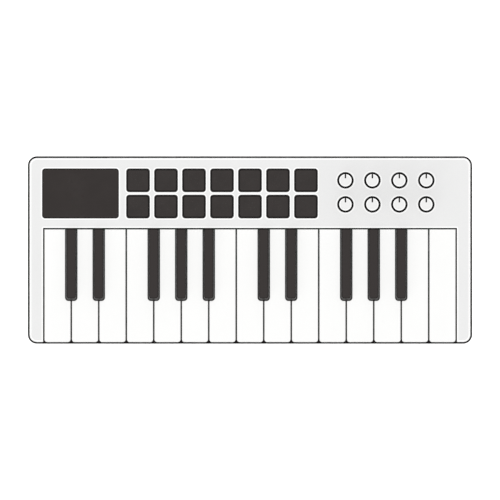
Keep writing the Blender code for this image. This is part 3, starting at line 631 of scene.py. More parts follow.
# %% Key sizes
KEY_FRONT = CASE_LOW.y
KEY_TOP = max(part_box(name)[1].z for name in WHITES)
BLACK_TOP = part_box(BLACKS[0])[1].z
BLACK_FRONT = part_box(BLACKS[0])[0].y
TAIL_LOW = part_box(WHITES[0])[0].z
HEEL_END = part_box(WHITES[0])[1].y
TAIL_TOP = 2 * PIVOT.z - TAIL_LOW
KEY_LENGTH = 82.0 * MM
KEY_REAR = KEY_FRONT + KEY_LENGTH
KEY_HEIGHT = 15.0 * MM
KEY_BOTTOM = KEY_TOP - KEY_HEIGHT
KEY_WALL = 1.4 * MM
KEY_CORNER = 2.0 * MM
KEY_ROUND = 0.65 * MM
BLACK_CORNER = 1.8 * MM
NOTCH_GAP = 0.6 * MM
KEY_SKIN = 2.0 * MM
TAIL_WIDTH = 5.0 * MM
TAIL_OVERLAP = 16.0 * MM
TAIL_ROUND = 0.3 * MM
TAIL_CUT = 1.0 * MM
EYE_RADIUS = 1.45 * MM
BLACK_REACH = 15.0 * MM
print("white keys are", round(KEY_LENGTH / MM), "mm long, with a", KEY_WALL / MM, "mm wall")


# %% Key outlines
def middle(name):
    """The middle of a node's box."""
    low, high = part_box(name)
    return (low + high) / 2


def black_beside(x, side):
    """The gap between a white key's stem and the black key on one side of it, or None."""
    for name in BLACKS:
        low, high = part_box(name)
        if 0 < side * (middle(name).x - x) < BLACK_REACH:
            return low.x - NOTCH_GAP if side > 0 else high.x + NOTCH_GAP
    return None


def white_outline(low, high, left, right, inset):
    """Plan of a white key, drawn smaller by the inset. left and right are its notches' walls."""
    x0, x1 = low.x + inset, high.x - inset
    front, rear = KEY_FRONT + inset, KEY_REAR - inset
    shoulder = BLACK_FRONT - NOTCH_GAP - inset
    radius, small, bend = KEY_CORNER - inset, 0.5 * MM, BLACK_CORNER + NOTCH_GAP + inset
    points = arc(x0 + radius, front + radius, radius, 180, 270, 8)
    points += arc(x1 - radius, front + radius, radius, 270, 360, 8)
    for side, edge, notch in ((1, x1, right), (-1, x0, left)):
        if notch is None:
            stop = [(edge, rear)]
        else:
            stem, flat = notch - side * inset, 0 if side > 0 else 180
            corner = arc(edge - side * small, shoulder - small, small, flat, 90, 3)
            hollow = arc(stem + side * bend, shoulder + bend, bend, 270, 270 - side * 90, 8)
            stop = [*corner, *hollow, (stem, rear)]
        points += stop if side > 0 else stop[::-1]
    return points


def beam(name, top):
    """The beam from inside the key back to the pivot, with its eye."""
    back, start = HEEL_END, KEY_REAR - TAIL_OVERLAP
    inside = KEY_REAR - KEY_WALL / 2
    outline = [
        (start, TAIL_LOW), (back - TAIL_CUT, TAIL_LOW), (back, TAIL_LOW + TAIL_CUT),
        (back, TAIL_TOP - TAIL_CUT), (back - TAIL_CUT, TAIL_TOP), (inside, TAIL_TOP),
        (inside, top), (start, top),
    ]
    eye = circle(PIVOT.y, PIVOT.z, EYE_RADIUS, 24)
    return bar(name, [outline, eye], -TAIL_WIDTH / 2, TAIL_WIDTH / 2, TAIL_ROUND)


print("white keys stand", round((KEY_TOP - DECK) / MM, 2), "mm from the deck's height")


# %% Make the white keys
for name in WHITES:
    low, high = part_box(name)
    notches = [black_beside(middle(name).x, side) for side in (-1, 1)]

    def ring(inset, height):
        return level(white_outline(low, high, *notches, inset), height)

    shell = [ring(KEY_WALL, KEY_TOP - KEY_SKIN), ring(KEY_WALL, KEY_BOTTOM), ring(0, KEY_BOTTOM)]
    shell += [ring(inset, KEY_TOP - drop) for inset, drop in quarter_round(KEY_ROUND)]
    tail = beam("tail", KEY_TOP - KEY_SKIN / 2)
    tail.transform(Matrix.Translation((middle(name).x, 0, 0)))
    for polygon in tail.polygons:
        polygon.material_index = 1
    mesh = joined(name, [loft(name, shell), tail])
    piece(f"{name}_moulding", mesh, name, "white_plastic", WHITE_KEY, FRAME_PLASTIC,
          stands_for=[name])
print(len(WHITES), "white keys")

# %% [markdown]
# ## Black keys
#
# A black key leans in on three sides: a little at its flanks, more at its nose. Its rings are
# one rounded rectangle that shrinks with height, and then follows a larger rounding into the
# top, because a hand slides along that edge. That rounding is painted near black as painted shade.

# %% Make the black keys
SIDE_SLOPE = 0.5 * MM
NOSE_SLOPE = 1.2 * MM
BLACK_ROUND = 0.6 * MM
BLACK_WALL = 1.2 * MM
BLACK_BOTTOM = KEY_BOTTOM - 0.4 * MM
REAR_CORNER = 0.3 * MM
LEAN_STEPS = 4


def black_ring(half, front, rear, radius, height):
    """A ring that is round at the front corners and nearly square at the back ones."""
    small = REAR_CORNER
    points = arc(radius - half, front + radius, radius, 180, 270, 8)
    points += arc(half - radius, front + radius, radius, 270, 360, 8)
    points += arc(half - small, rear - small, small, 0, 90, 2)
    points += arc(small - half, rear - small, small, 90, 180, 2)
    return level(points, height)


def black_shell(half):
    """A black key round the middle: up its hollow, out and up its leaning sides, over its rim."""
    wall, slant = half - BLACK_WALL, BLACK_TOP - BLACK_ROUND
    rings = [
        black_ring(wall, BLACK_FRONT + BLACK_WALL, KEY_REAR - BLACK_WALL, BLACK_CORNER / 2, height)
        for height in (KEY_TOP, BLACK_BOTTOM)
    ]
    rings.append(black_ring(half, BLACK_FRONT, KEY_REAR, BLACK_CORNER, BLACK_BOTTOM))
    for step in range(LEAN_STEPS + 1):
        part = step / LEAN_STEPS
        nose = BLACK_FRONT + NOSE_SLOPE * part**1.5
        height = KEY_TOP + (slant - KEY_TOP) * part
        rings.append(black_ring(half - SIDE_SLOPE * part, nose, KEY_REAR, BLACK_CORNER, height))
    for inset, drop in quarter_round(BLACK_ROUND)[1:]:
        rings.append(black_ring(half - SIDE_SLOPE - inset, BLACK_FRONT + NOSE_SLOPE + inset,
                                KEY_REAR - inset / 2, BLACK_CORNER - inset, BLACK_TOP - drop))
    return loft("black_key", rings)


low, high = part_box(BLACKS[0])
black_tail = beam("tail", KEY_TOP + KEY_SKIN / 2)
black_mesh = joined("black_key", [black_shell((high.x - low.x) / 2), black_tail])
for name in BLACKS:
    # The rounding into the top gets the second slot: painted shade, near black.
    mesh = rimmed(joined(name, [black_mesh], (middle(name).x, 0, 0)), BLACK_TOP - BLACK_ROUND)
    piece(f"{name}_moulding", mesh, name, "black_plastic", CHARCOAL_KEY, RIM_PAINTED_SHADE,
          stands_for=[name])
print(len(BLACKS), "black keys")

# %% [markdown]
# ## Pads
#
# Each pad is a silicone block with a flange that keeps it in its opening. Its rim is generously
# rounded and its top is dished by a tenth of a millimetre, which is what makes moulded silicone
# look soft instead of machined. The rounding of the rim is painted near black as painted shade.

# %% Make the pads
PAD_FLANGE = 1.2 * MM
PAD_CORNER = 2.2 * MM
PAD_ROUND = 1.1 * MM
PAD_DISH = 0.12 * MM
DISH_STEPS = ((2.2 * MM, 0.15), (3.4 * MM, 0.5), (5.0 * MM, 0.85), (6.6 * MM, 1.0))
FLANGE_DROP = 2.8 * MM
FLANGE_DEPTH = 1.5 * MM
PAD_HOLLOW = 3.0 * MM
PAD_CHAMFER = 0.3 * MM


def pad_mesh(low, high):
    """Rings from the middle of the underside, round the flange and over the rim to the dish."""
    inner_low, inner_high = grown(low, high, -PAD_FLANGE)
    flange_top = DECK - FLANGE_DROP
    flange_low = flange_top - FLANGE_DEPTH

    def ring(inset, height, wide=False):
        corners = grown(low, high, -inset) if wide else grown(inner_low, inner_high, -inset)
        return level(rounded(*corners, max(PAD_CORNER - inset, 0.5 * MM), 6), height)

    rings = [ring(PAD_HOLLOW, low.z + 1 * MM), ring(PAD_HOLLOW, low.z), ring(PAD_CHAMFER, low.z)]
    rings += [ring(0, low.z + PAD_CHAMFER), ring(0, flange_low), ring(0, flange_low, True)]
    rings += [ring(0, flange_top, True), ring(0, flange_top)]
    rings += [ring(inset, high.z - drop) for inset, drop in quarter_round(PAD_ROUND, 6)]
    rings += [ring(inset, high.z - PAD_DISH * sink) for inset, sink in DISH_STEPS]
    return loft("pad", rings)


for name in PADS:
    low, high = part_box(name)
    # The rim's rounding gets the second slot: painted shade, near black.
    mesh = rimmed(pad_mesh(low, high), high.z - PAD_ROUND)
    piece(f"{name}_silicone", mesh, name, "pad_rubber", PAD_SILICONE, RIM_PAINTED_SHADE,
          stands_for=[name], smooth=40)
print(len(PADS), "pads")


# %% [markdown]
# ## Geometry Nodes for what repeats
#
# A grip is one rib repeated round a circle, a foot is one bead repeated along a line, and the
# case is held by one screw repeated at eight bosses. Each is a small tree with named inputs.
# `Tree` makes the tree, `grow` runs it on an object and hands back a plain mesh.

# %% A tree and its inputs
class Tree(Nodes):
    """A Geometry Nodes group with named inputs, ending in one output geometry."""

    def __init__(self, name, **inputs):
        super().__init__(bpy.data.node_groups.new(name, "GeometryNodeTree"))
        face = self.tree.interface
        face.new_socket("Geometry", in_out="INPUT", socket_type="NodeSocketGeometry")
        face.new_socket("Geometry", in_out="OUTPUT", socket_type="NodeSocketGeometry")
        for label, value in inputs.items():
            kind = "NodeSocketInt" if isinstance(value, int) else "NodeSocketFloat"
            face.new_socket(label, in_out="INPUT", socket_type=kind).default_value = value
        self.entry = self.tree.nodes.new("NodeGroupInput")
        self.exit = self.tree.nodes.new("NodeGroupOutput")

    def given(self, label):
        """What a named input holds."""
        return Wire(self, self.entry.outputs[label])

    def vector(self, x=0.0, y=0.0, z=0.0):
        return self.node("ShaderNodeCombineXYZ", {}, {"X": x, "Y": y, "Z": z})

    def moved(self, geometry, x=0.0, y=0.0, z=0.0):
        sockets = {"Geometry": geometry, "Translation": self.vector(x, y, z)}
        return self.node("GeometryNodeTransform", {}, sockets)

    def copies(self, points, instance):
        sockets = {"Points": points, "Instance": instance}
        return self.node("GeometryNodeInstanceOnPoints", {}, sockets)

    def end(self, geometry, finish):
        """Realises the copies, gives them their finish and closes the tree."""
        real = self.node("GeometryNodeRealizeInstances", {}, {"Geometry": geometry})
        sockets = {"Geometry": real, "Material": finish}
        self.feed(self.exit.inputs[0], self.node("GeometryNodeSetMaterial", {}, sockets))
        return self.tree


print("repeats use", Tree.__name__)


# %% Run a tree
def grow(name, group, points, **values):
    """Runs a tree on a mesh of points, with these input values, and gives the plain mesh."""
    seed = bpy.data.meshes.new(name)
    seed.from_pydata(points, [], [])
    obj = object_from(name, seed)
    modifier = obj.modifiers.new(name, "NODES")
    modifier.node_group = group
    for item in group.interface.items_tree:
        if item.item_type == "SOCKET" and item.in_out == "INPUT" and item.name in values:
            modifier[item.identifier] = values[item.name]
    return evaluated(obj, name)


print("trees run in", grow.__name__)


# %% [markdown]
# ## Knobs
#
# A knob is a ribbed rubber sleeve round a pale cap, with a dark pointer let into the cap. The
# cap is dished inside a rim painted bright as a painted highlight. The sleeve and the cap are
# turned shapes. The ribs are a tree: a circle of points, and on each a slim tapered post that is
# half sunk in the sleeve.

# %% The ribs' tree
def rib_tree():
    tree = Tree("grip_ribs", Count=40, Circle=5.75 * MM, Rib=0.25 * MM, Height=9.0 * MM, Foot=0.0)
    rib = tree.given("Rib")
    ring = tree.node("GeometryNodeMeshCircle", {}, {
        "Vertices": tree.given("Count"), "Radius": tree.given("Circle"),
    })
    post = tree.node("GeometryNodeMeshCone", {}, {
        "Vertices": 8, "Side Segments": 4, "Radius Top": rib * 0.45, "Radius Bottom": rib,
        "Depth": tree.given("Height"),
    })
    return tree.end(tree.moved(tree.copies(ring, post), z=tree.given("Foot")), SLEEVE_RUBBER)


RIBS = rib_tree()
RIB_COUNT = 40
print("tree", RIBS.name)

# %% A knob's parts
CAP_RADIUS = 4.52 * MM
CAP_RIM = 0.75 * MM
CAP_DEEP = 1.3 * MM
CAP_DISH = ((2.6 * MM, 0.18 * MM), (1.3 * MM, 0.22 * MM), (0.2 * MM, 0.23 * MM))
SHAFT_RADIUS = 1.8 * MM
SLEEVE_LIFT = 0.8 * MM
SLEEVE_SET = 0.14 * MM
SLEEVE_ROUND = 0.35 * MM
COLLAR = 1.1 * MM
RIB_SIZE = 0.2 * MM
POINTER_WIDTH = 1.05 * MM
POINTER_NEAR, POINTER_FAR = 1.45 * MM, 4.65 * MM


def sleeve_profile(low, radius, foot, top):
    """Up the shaft, out under the sleeve, round its collar, up its wall and into the cap's seat."""
    wall = radius - SLEEVE_SET
    profile = [
        (0.4 * MM, low), (SHAFT_RADIUS - 0.3 * MM, low), (SHAFT_RADIUS, low + 0.3 * MM),
        (SHAFT_RADIUS, foot + 1 * MM), (wall - 1.2 * MM, foot + 1 * MM), (wall - 1.0 * MM, foot),
        (radius - 0.2 * MM, foot), (radius, foot + 0.2 * MM), (radius, foot + COLLAR),
        (wall, foot + COLLAR + 0.3 * MM),
    ]
    profile += [(wall - inset, top - 0.25 * MM - drop)
                for inset, drop in quarter_round(SLEEVE_ROUND, 4)]
    seat = top - CAP_DEEP + 0.1 * MM
    return profile + [(CAP_RADIUS + 0.2 * MM, top - 0.3 * MM), (CAP_RADIUS + 0.05 * MM, seat),
                      (0.4 * MM, seat)]


def cap_mesh(top):
    """A cap whose rim has the second slot, painted bright as a painted highlight, and whose face is
    dished.
    """
    edge = quarter_round(0.2 * MM, 3)
    face = CAP_RADIUS - CAP_RIM
    profile = [(0.2 * MM, top - CAP_DEEP), (CAP_RADIUS, top - CAP_DEEP)]
    profile += [(CAP_RADIUS - inset, top - 0.1 * MM - drop) for inset, drop in edge]
    profile += [(face, top - 0.02 * MM), (face - 0.15 * MM, top - 0.1 * MM)]
    profile += [(radius, top - drop) for radius, drop in CAP_DISH]
    return turned("cap", profile, slots=[0] + [1] * (len(edge) + 1) + [0] * 4)


def knob_parts(low, high):
    """The sleeve with its shaft, the ribs, the cap and the pointer, round the origin."""
    radius, foot, top = (high.x - low.x) / 2, DECK + SLEEVE_LIFT, high.z
    sleeve = turned("sleeve", sleeve_profile(low.z, radius, foot, top))
    ribs = grow("ribs", RIBS, [(0, 0, 0)], Count=RIB_COUNT, Circle=radius - SLEEVE_SET - 0.06 * MM,
                Rib=RIB_SIZE, Height=top - foot - 2 * COLLAR, Foot=foot + COLLAR + 0.1 * MM)
    half = POINTER_WIDTH / 2
    outline = rounded((-half, POINTER_NEAR), (half, POINTER_FAR), half * 0.6, 4)
    pointer = plate("pointer", [outline], top - 0.8 * MM, top, 0.06 * MM, 2)
    return sleeve, ribs, cap_mesh(top), pointer


sleeve, ribs, cap, pointer = knob_parts(*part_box(KNOBS[0]))
print(len(sleeve.polygons) + len(ribs.polygons), "faces in a sleeve and its ribs")

# %% Make the knobs
for name in KNOBS:
    at = middle(name)
    spot = (at.x, at.y, 0)
    grip = joined(name, [sleeve, ribs], spot)
    piece(f"{name}_sleeve", grip, name, "knob_rubber", SLEEVE_RUBBER, stands_for=[name])
    disc = joined(name, [cap], spot)
    piece(f"{name}_cap", disc, name, "light_plastic", CAP_PLASTIC, LIP_PAINTED_HIGHLIGHT)
    piece(f"{name}_pointer", joined(name, [pointer], spot), name, "knob_rubber", SLEEVE_RUBBER)
print(len(KNOBS), "knobs")

# %% [markdown]
# ## The upper case
#
# The upper case is one moulding: a deck, an outer skirt, the cheeks beside the keys, and bosses
# and posts underneath. It is made as a maker would cut it from a block, with exact Booleans.
# Each opening's cutter flares at the deck, and the flare leaves a narrow polished lip, painted
# brighter than the deck as a painted highlight. The cutter carries the lip's material number,
# and the Boolean passes it on to the cut face. Below its lip the display's recess is painted
# near black as painted shade, so there its cutter has a third number.

# %% Cutters with a flare
CASE_CORNER = 5.35 * MM
CASE_ROUND = 1.3 * MM
CASE_DROP = 0.7 * MM
CASE_DRAFT = 0.25 * MM
WALL = 2.3 * MM
LIP_WALL = 2.0 * MM
DECK_LOW = DECK - 2.5 * MM
LIP = 0.95 * MM
LIP_DROP = 0.1 * MM
LIP_ROUND = 0.2 * MM
PAD_GAP = 0.48 * MM
WINDOW_GAP = 0.42 * MM
LEDGE = 2.6 * MM
FIT = 0.3 * MM
KEY_MARGIN = 1.0 * MM
OPEN_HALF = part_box("white_key_c3")[1].x + KEY_MARGIN
PANEL_EDGE = KEY_REAR + KEY_MARGIN
SEAT_FLAT, SEAT_RIM = 6.2 * MM, 7.15 * MM
SEAT_DEEP = 0.25 * MM
SHAFT_HOLE = 3.8 * MM


def flared(name, low, high, corner, bottom, lip=LIP):
    """A cutter for an opening between two corners, whose top spreads into a polished lip painted
    bright as a painted highlight.
    """
    steps = [(0.0, bottom)]
    steps += [(inset, DECK - LIP_DROP - drop) for inset, drop in quarter_round(LIP_ROUND, 3)]
    steps += [(lip, DECK), (lip, DECK + 1 * MM)]
    rings = [level(rounded(*grown(low, high, by), corner + by, 8), height) for by, height in steps]
    return loft(name, rings, [0] + [1] * (len(rings) - 3) + [0])


def knob_seat(at):
    """A shallow polished dish round a knob, painted bright as a painted highlight, with the shaft's
    hole through it.
    """
    profile = [(SHAFT_HOLE, DECK_LOW - 1 * MM), (SHAFT_HOLE, DECK - SEAT_DEEP),
               (SEAT_FLAT, DECK - SEAT_DEEP), (SEAT_RIM - 0.1 * MM, DECK - 0.08 * MM),
               (SEAT_RIM, DECK), (SEAT_RIM, DECK + 1 * MM)]
    return turned("knob_seat", profile, (at.x, at.y), 48, [0, 1, 1, 1, 0])


print("lips are", LIP / MM, "mm wide, and a knob's seat", 2 * SEAT_RIM / MM, "mm")


# %% Screw places
def screw_places():
    """X and Y of the bosses: three down each cheek and two along the back."""
    edge = CASE_HIGH.x - WALL - 2.8 * MM
    rows = (CASE_LOW.y + 9.0 * MM, KEY_REAR - 24.0 * MM, PIVOT.y + 5.0 * MM)
    back = CASE_HIGH.y - WALL - 4.5 * MM
    left, right = WINDOW_LOW.x - FIT + 12.5 * MM, middle(KNOBS[0]).x - 12.5 * MM
    return [(side * edge, y) for side in (-1, 1) for y in rows] + [(left, back), (right, back)]


SCREWS = screw_places()
print(len(SCREWS), "screw bosses; first at", [round(v / MM, 1) for v in SCREWS[0]])

# %% Carve the upper case
plan_low, plan_high = (CASE_LOW.x, CASE_LOW.y), (CASE_HIGH.x, CASE_HIGH.y)


def case_blank():
    """The block: the skirt leans in by its draft, and rounds into the deck with a polish, the
    rounding painted bright as a painted highlight.
    """
    steps = [(0.0, CASE_LOW.z)]
    steps += [(CASE_DRAFT + inset * (CASE_ROUND - CASE_DRAFT), DECK - drop * CASE_DROP)
              for inset, drop in quarter_round(1.0, 7)]
    rings = [level(rounded(*grown(plan_low, plan_high, -by), CASE_CORNER - by, 12), height)
             for by, height in steps]
    return loft("upper_case", rings, [0] + [1] * (len(rings) - 2))


def box_cut(name, low, high, radius=0.6 * MM):
    """An upright cutter between two corners, barely rounded."""
    return plate(name, [rounded(low, high, radius, 4)], low[2], high[2])


under = CASE_LOW.z - 1 * MM
inner_low = (CASE_LOW.x + WALL, PANEL_EDGE + LIP_WALL, under)
inner_high = (CASE_HIGH.x - WALL, CASE_HIGH.y - WALL, DECK_LOW)
cuts = [
    box_cut("panel_hollow", inner_low, inner_high, 3.0 * MM),
    flared("key_opening", (-OPEN_HALF, CASE_LOW.y - 9 * MM), (OPEN_HALF, PANEL_EDGE),
           0.05 * MM, under),
    box_cut("tail_slot", (-OPEN_HALF, PANEL_EDGE - 1 * MM, under),
            (OPEN_HALF, PANEL_EDGE + 2 * LIP_WALL, BOARD_LOW.z - 1 * MM)),
]
for side in (-1, 1):
    x = sorted((side * (OPEN_HALF + LIP_WALL), side * (CASE_HIGH.x - WALL)))
    cuts.append(box_cut("cheek_hollow", (x[0], CASE_LOW.y + WALL, under),
                        (x[1], PANEL_EDGE + 2 * LIP_WALL, DECK_LOW)))
CASE_FINISHES = (PALE_CASE, LIP_PAINTED_HIGHLIGHT, RIM_PAINTED_SHADE)
hollowed = carved("upper_case", CASE_FINISHES, case_blank(), cuts)


def round_posts(name, radius, low, high, steps):
    """One upright cylinder at each screw."""
    return [plate(name, [circle(x, y, radius, steps)], low, high) for x, y in SCREWS]


bosses = round_posts("boss", 3.0 * MM, CASE_LOW.z, DECK_LOW + 0.3 * MM, 32)
pilots = round_posts("pilot", 1.1 * MM, under, DECK_LOW - 3 * MM, 20)
print(len(cuts), "hollows cut,", len(bosses), "bosses to add")

# %% Open the deck
openings = []
for name in PADS:
    low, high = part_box(name)
    corners = grown(low, high, PAD_GAP - PAD_FLANGE)
    openings.append(flared("pad_opening", *corners, PAD_CORNER, DECK_LOW - 1 * MM))
openings += [knob_seat(middle(name)) for name in KNOBS]
recess_low, recess_high = grown(WINDOW_LOW, WINDOW_HIGH, WINDOW_GAP)
recess_floor = WINDOW_LOW.z - 0.3 * MM
recess = flared("window_recess", recess_low, recess_high, PAD_CORNER, recess_floor)
# Below the lip the recess gets the third slot: painted shade, near black.
for polygon in recess.polygons:
    if polygon.center.z < DECK - LIP_DROP - LIP_ROUND:
        polygon.material_index = 2
openings.append(recess)
window_hole = rounded(*grown(recess_low, recess_high, -LEDGE), 1 * MM, 4)
openings.append(plate("window_opening", [window_hole], DECK_LOW - 1 * MM, DECK))
cutout_low = (SOCKET_LOW.x - FIT, CASE_HIGH.y - WALL - 1 * MM, under)
cutout_high = (SOCKET_HIGH.x + FIT, CASE_HIGH.y + 1 * MM, SOCKET_HIGH.z + FIT)
openings.append(box_cut("socket_cutout", cutout_low, cutout_high, 0.05 * MM))
upper = carved("upper_case", CASE_FINISHES, hollowed, pilots + openings, bosses)
piece("upper_case", upper, "housing", "light_plastic", *CASE_FINISHES,
      stands_for=["top_case"], smooth=32)
print(len(upper.polygons), "faces in the upper case")

# %% [markdown]
# ## The tray
#
# The charcoal tray stands a millimetre proud of the upper case all round, so it draws a dark
# line round the object from above, and the rim's round and ledge are painted near black as
# painted shade. Its lower edge is rounded, its upper rim has a small round, and underneath
# it has counterbores for the screws and a groove for each foot.

# %% Carve the tray
TRAY_CORNER = 6.5 * MM
TRAY_ROUND = 1.5 * MM
RIM_ROUND = 0.2 * MM
FLOOR = TRAY_LOW.z + 2.5 * MM
PROUD = 1.15 * MM
SCREW_SEAT = 3.0 * MM


def tray_blank():
    """The tray's outside, rounded below and at its rim, then in and down to its floor."""
    low, high = (TRAY_LOW.x, TRAY_LOW.y), (TRAY_HIGH.x, TRAY_HIGH.y)
    steps = [(inset, TRAY_LOW.z + drop) for inset, drop in quarter_round(TRAY_ROUND, 6)[::-1]]
    steps += [(inset, TRAY_HIGH.z - drop) for inset, drop in quarter_round(RIM_ROUND, 3)]
    steps += [(PROUD + WALL, TRAY_HIGH.z), (PROUD + WALL, FLOOR)]
    rings = [level(rounded(*grown(low, high, -by), TRAY_CORNER - by, 12), height)
             for by, height in steps]
    # The rim's round and the ledge on top get the second slot: painted shade, near black.
    return loft("tray", rings, [0] * 7 + [1] * 4 + [0])


def foot_outline(node, by):
    """A foot's plan, with nearly round ends."""
    low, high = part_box(node)
    radius = (high.y - low.y) / 2 - 1 * MM
    return rounded(*grown(low, high, by), radius + by, 8)


FEET = ("front_foot", "rear_foot")
foot_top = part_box("front_foot")[1].z
mouth = TRAY_LOW.z - 1 * MM
sink = [(3.1 * MM, mouth), (3.1 * MM, TRAY_LOW.z), (2.8 * MM, TRAY_LOW.z + 0.3 * MM),
        (2.8 * MM, TRAY_LOW.z + SCREW_SEAT)]
studs = round_posts("stud", 4.0 * MM, FLOOR - 0.3 * MM, TRAY_HIGH.z, 32)
bores = round_posts("bore", 1.6 * MM, TRAY_LOW.z, TRAY_HIGH.z + 1 * MM, 24)
sinks = [turned("sink", sink, place, 32) for place in SCREWS]
grooves = [plate("groove", [foot_outline(node, FIT)], mouth, foot_top + FIT) for node in FEET]
TRAY_FINISHES = (CHARCOAL_CASE, RIM_PAINTED_SHADE)
tray = carved("tray", TRAY_FINISHES, tray_blank(), bores + sinks + grooves, studs)
piece("tray", tray, "housing", "dark_plastic", *TRAY_FINISHES,
      stands_for=["bottom_case"], smooth=32)
print(len(tray.polygons), "faces in the tray")

# %% [markdown]
# ## Feet
#
# Each foot is a long rubber strip with a row of beads that grip the table. The strip is a plate
# that stops just short of the table, and a tree puts the beads along it.

# %% The beads' tree and the feet
BEAD_PITCH = 3.0 * MM
BEAD_DROP = 0.35 * MM
BEAD = 0.9 * MM
BEAD_MARGIN = 6.0 * MM


def bead_tree():
    tree = Tree("foot_beads", Count=90, Pitch=BEAD_PITCH, Bead=BEAD, Stretch=2.6)
    count, pitch = tree.given("Count"), tree.given("Pitch")
    row = tree.node("GeometryNodeMeshLine", {}, {"Count": count, "Offset": tree.vector(x=pitch)})
    centred = tree.moved(row, x=(count - 1.0) * pitch * -0.5)
    bead = tree.node("GeometryNodeMeshUVSphere", {}, {
        "Segments": 12, "Rings": 6, "Radius": tree.given("Bead"),
    })
    long = tree.node("GeometryNodeTransform", {}, {
        "Geometry": bead, "Scale": tree.vector(1.0, tree.given("Stretch"), 1.0),
    })
    return tree.end(tree.copies(centred, long), FOOT_RUBBER)


BEADS = bead_tree()
for node in FEET:
    low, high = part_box(node)
    strip = plate(node, [foot_outline(node, 0)], low.z + BEAD_DROP, high.z, 0.5 * MM, 3)
    count = int((high.x - low.x - BEAD_MARGIN) / BEAD_PITCH)
    row = grow("beads", BEADS, [(0, 0, 0)], Count=count, Pitch=BEAD_PITCH)
    row.transform(Matrix.Translation((0, middle(node).y, low.z + BEAD)))
    mesh = joined(node, [strip, row])
    piece(f"{node}_rubber", mesh, "housing", "foot_rubber", FOOT_RUBBER, stands_for=[node])
    print(node, count, "beads")


# %% [markdown]
# ## Screws
#
# Eight blackened self-tapping screws hold the tray to the upper case. The tree makes one
# shank and stands a copy at each point of the mesh it is given. The heads aren't modelled.

# %% The screws' tree
SCREW_LENGTH = 11.0 * MM


def screw_tree():
    tree = Tree("case_screws", Shank=1.05 * MM, Length=12.0 * MM)
    length = tree.given("Length")
    shank = tree.node("GeometryNodeMeshCylinder", {}, {
        "Vertices": 16, "Radius": tree.given("Shank"), "Depth": length,
    })
    shank = tree.moved(shank, z=length * 0.49)
    return tree.end(tree.copies(tree.given("Geometry"), shank), SCREW_STEEL)


seats = [(x, y, TRAY_LOW.z + SCREW_SEAT) for x, y in SCREWS]
screws = grow("case_screws", screw_tree(), seats, Length=SCREW_LENGTH)
piece("case_screws", screws, "housing", "steel", SCREW_STEEL, smooth=40)
print("screws:", len(screws.polygons), "faces")

# %% [markdown]
# ## The display's window
#
# The window is a slip of smoked acrylic glued into its recess, with its edges polished to a
# small round, and that round is painted near black as painted shade. It is opaque when the
# display is off, so the module under it doesn't show.

# %% Make the window
WINDOW_CORNER = 1.9 * MM
WINDOW_ROUND = 0.3 * MM
outline = rounded(WINDOW_LOW, WINDOW_HIGH, WINDOW_CORNER, 10)
glass = plate("window", [outline], WINDOW_LOW.z, WINDOW_HIGH.z, WINDOW_ROUND, 4)
# The rounded edge gets the second slot: painted shade, near black.
piece("display_window_acrylic", rimmed(glass, DECK - WINDOW_ROUND), "housing", "smoked_acrylic",
      ACRYLIC, RIM_PAINTED_SHADE, stands_for=["display_window"])
print("window", [round(v / MM, 1) for v in (WINDOW_HIGH - WINDOW_LOW)])

# %% [markdown]
# ## The data socket
#
# The socket is a folded nickel shell round a black insulator. In its mouth a tongue carries
# four gilt contacts, two above and two below, and the mouth's upper corners are cut off, so a
# plug goes in only one way up.

# %% Make the socket
MOUTH_HALF, MOUTH_TALL, MOUTH_CUT = 4.4 * MM, 8.0 * MM, 1.2 * MM
TONGUE_TALL = 1.6 * MM
CONTACT_SIDE = 1.25 * MM
socket_at = (SOCKET_LOW + SOCKET_HIGH) / 2


def mouth_outline(by):
    """The mouth seen from behind, about the socket's middle, with its upper corners cut off."""
    half, tall, cut = MOUTH_HALF + by, MOUTH_TALL / 2 + by, MOUTH_CUT + by * 0.4
    return [(-half, -tall), (half, -tall), (half, tall - cut), (half - cut, tall),
            (cut - half, tall), (-half, tall - cut)]


def facing_back(name, outlines, near, far, edge=0.0, steps=3):
    """A plate seen from behind the object, which runs in from the socket's mouth."""
    mesh = plate(name, outlines, near, far, edge, steps)
    mesh.transform(Matrix(((1, 0, 0, socket_at.x), (0, 0, -1, SOCKET_HIGH.y),
                           (0, 1, 0, socket_at.z), (0, 0, 0, 1))))
    return cleaned(mesh)


def centred(x, z, half, tall, radius, steps):
    """A rounded rectangle about a point of the socket's face."""
    return rounded((x - half, z - tall), (x + half, z + tall), radius, steps)


size = SOCKET_HIGH - SOCKET_LOW
outer = centred(0, 0, size.x / 2, size.z / 2, 0.6 * MM, 5)
shell = facing_back("shell", [outer, mouth_outline(0.35 * MM)], 0, size.y, 0.15 * MM, 2)
lining = [mouth_outline(0.3 * MM), mouth_outline(0)]
core = facing_back("core", lining, 0.8 * MM, size.y - 0.2 * MM)
back = facing_back("back", [mouth_outline(0.2 * MM)], 9.5 * MM, size.y - 0.3 * MM)
tongue_outline = centred(0, 0, 2.8 * MM, TONGUE_TALL, 0.3 * MM, 3)
tongue = facing_back("tongue", [tongue_outline], 1.0 * MM, 9.8 * MM, 0.2 * MM, 2)
strips = [
    facing_back("contact", [centred(x, z, 0.5 * MM, 0.12 * MM, 0.08 * MM, 2)], 1.5 * MM, 9.6 * MM)
    for x in (-CONTACT_SIDE, CONTACT_SIDE) for z in (-TONGUE_TALL, TONGUE_TALL)
]
piece("socket_shell", shell, "housing", "nickel", NICKEL, stands_for=["usb_socket"])
insulator = joined("insulator", [core, back, tongue])
piece("socket_insulator", insulator, "housing", "frame_plastic", FRAME_PLASTIC)
piece("socket_contacts", joined("contacts", strips), "housing", "nickel", GOLD)
print("socket", [round(v / MM, 1) for v in size])

# %% [markdown]
# ## The strip of domes
#
# Under every key's tail stands a hollow rubber dome that pushes the key up and folds when it is
# played. A dome is turned: a flared foot, a slanting wall and a small flat nose. All twenty-five
# stand on one thin sheet. Each dome is a piece of its own, with a mesh of its own.

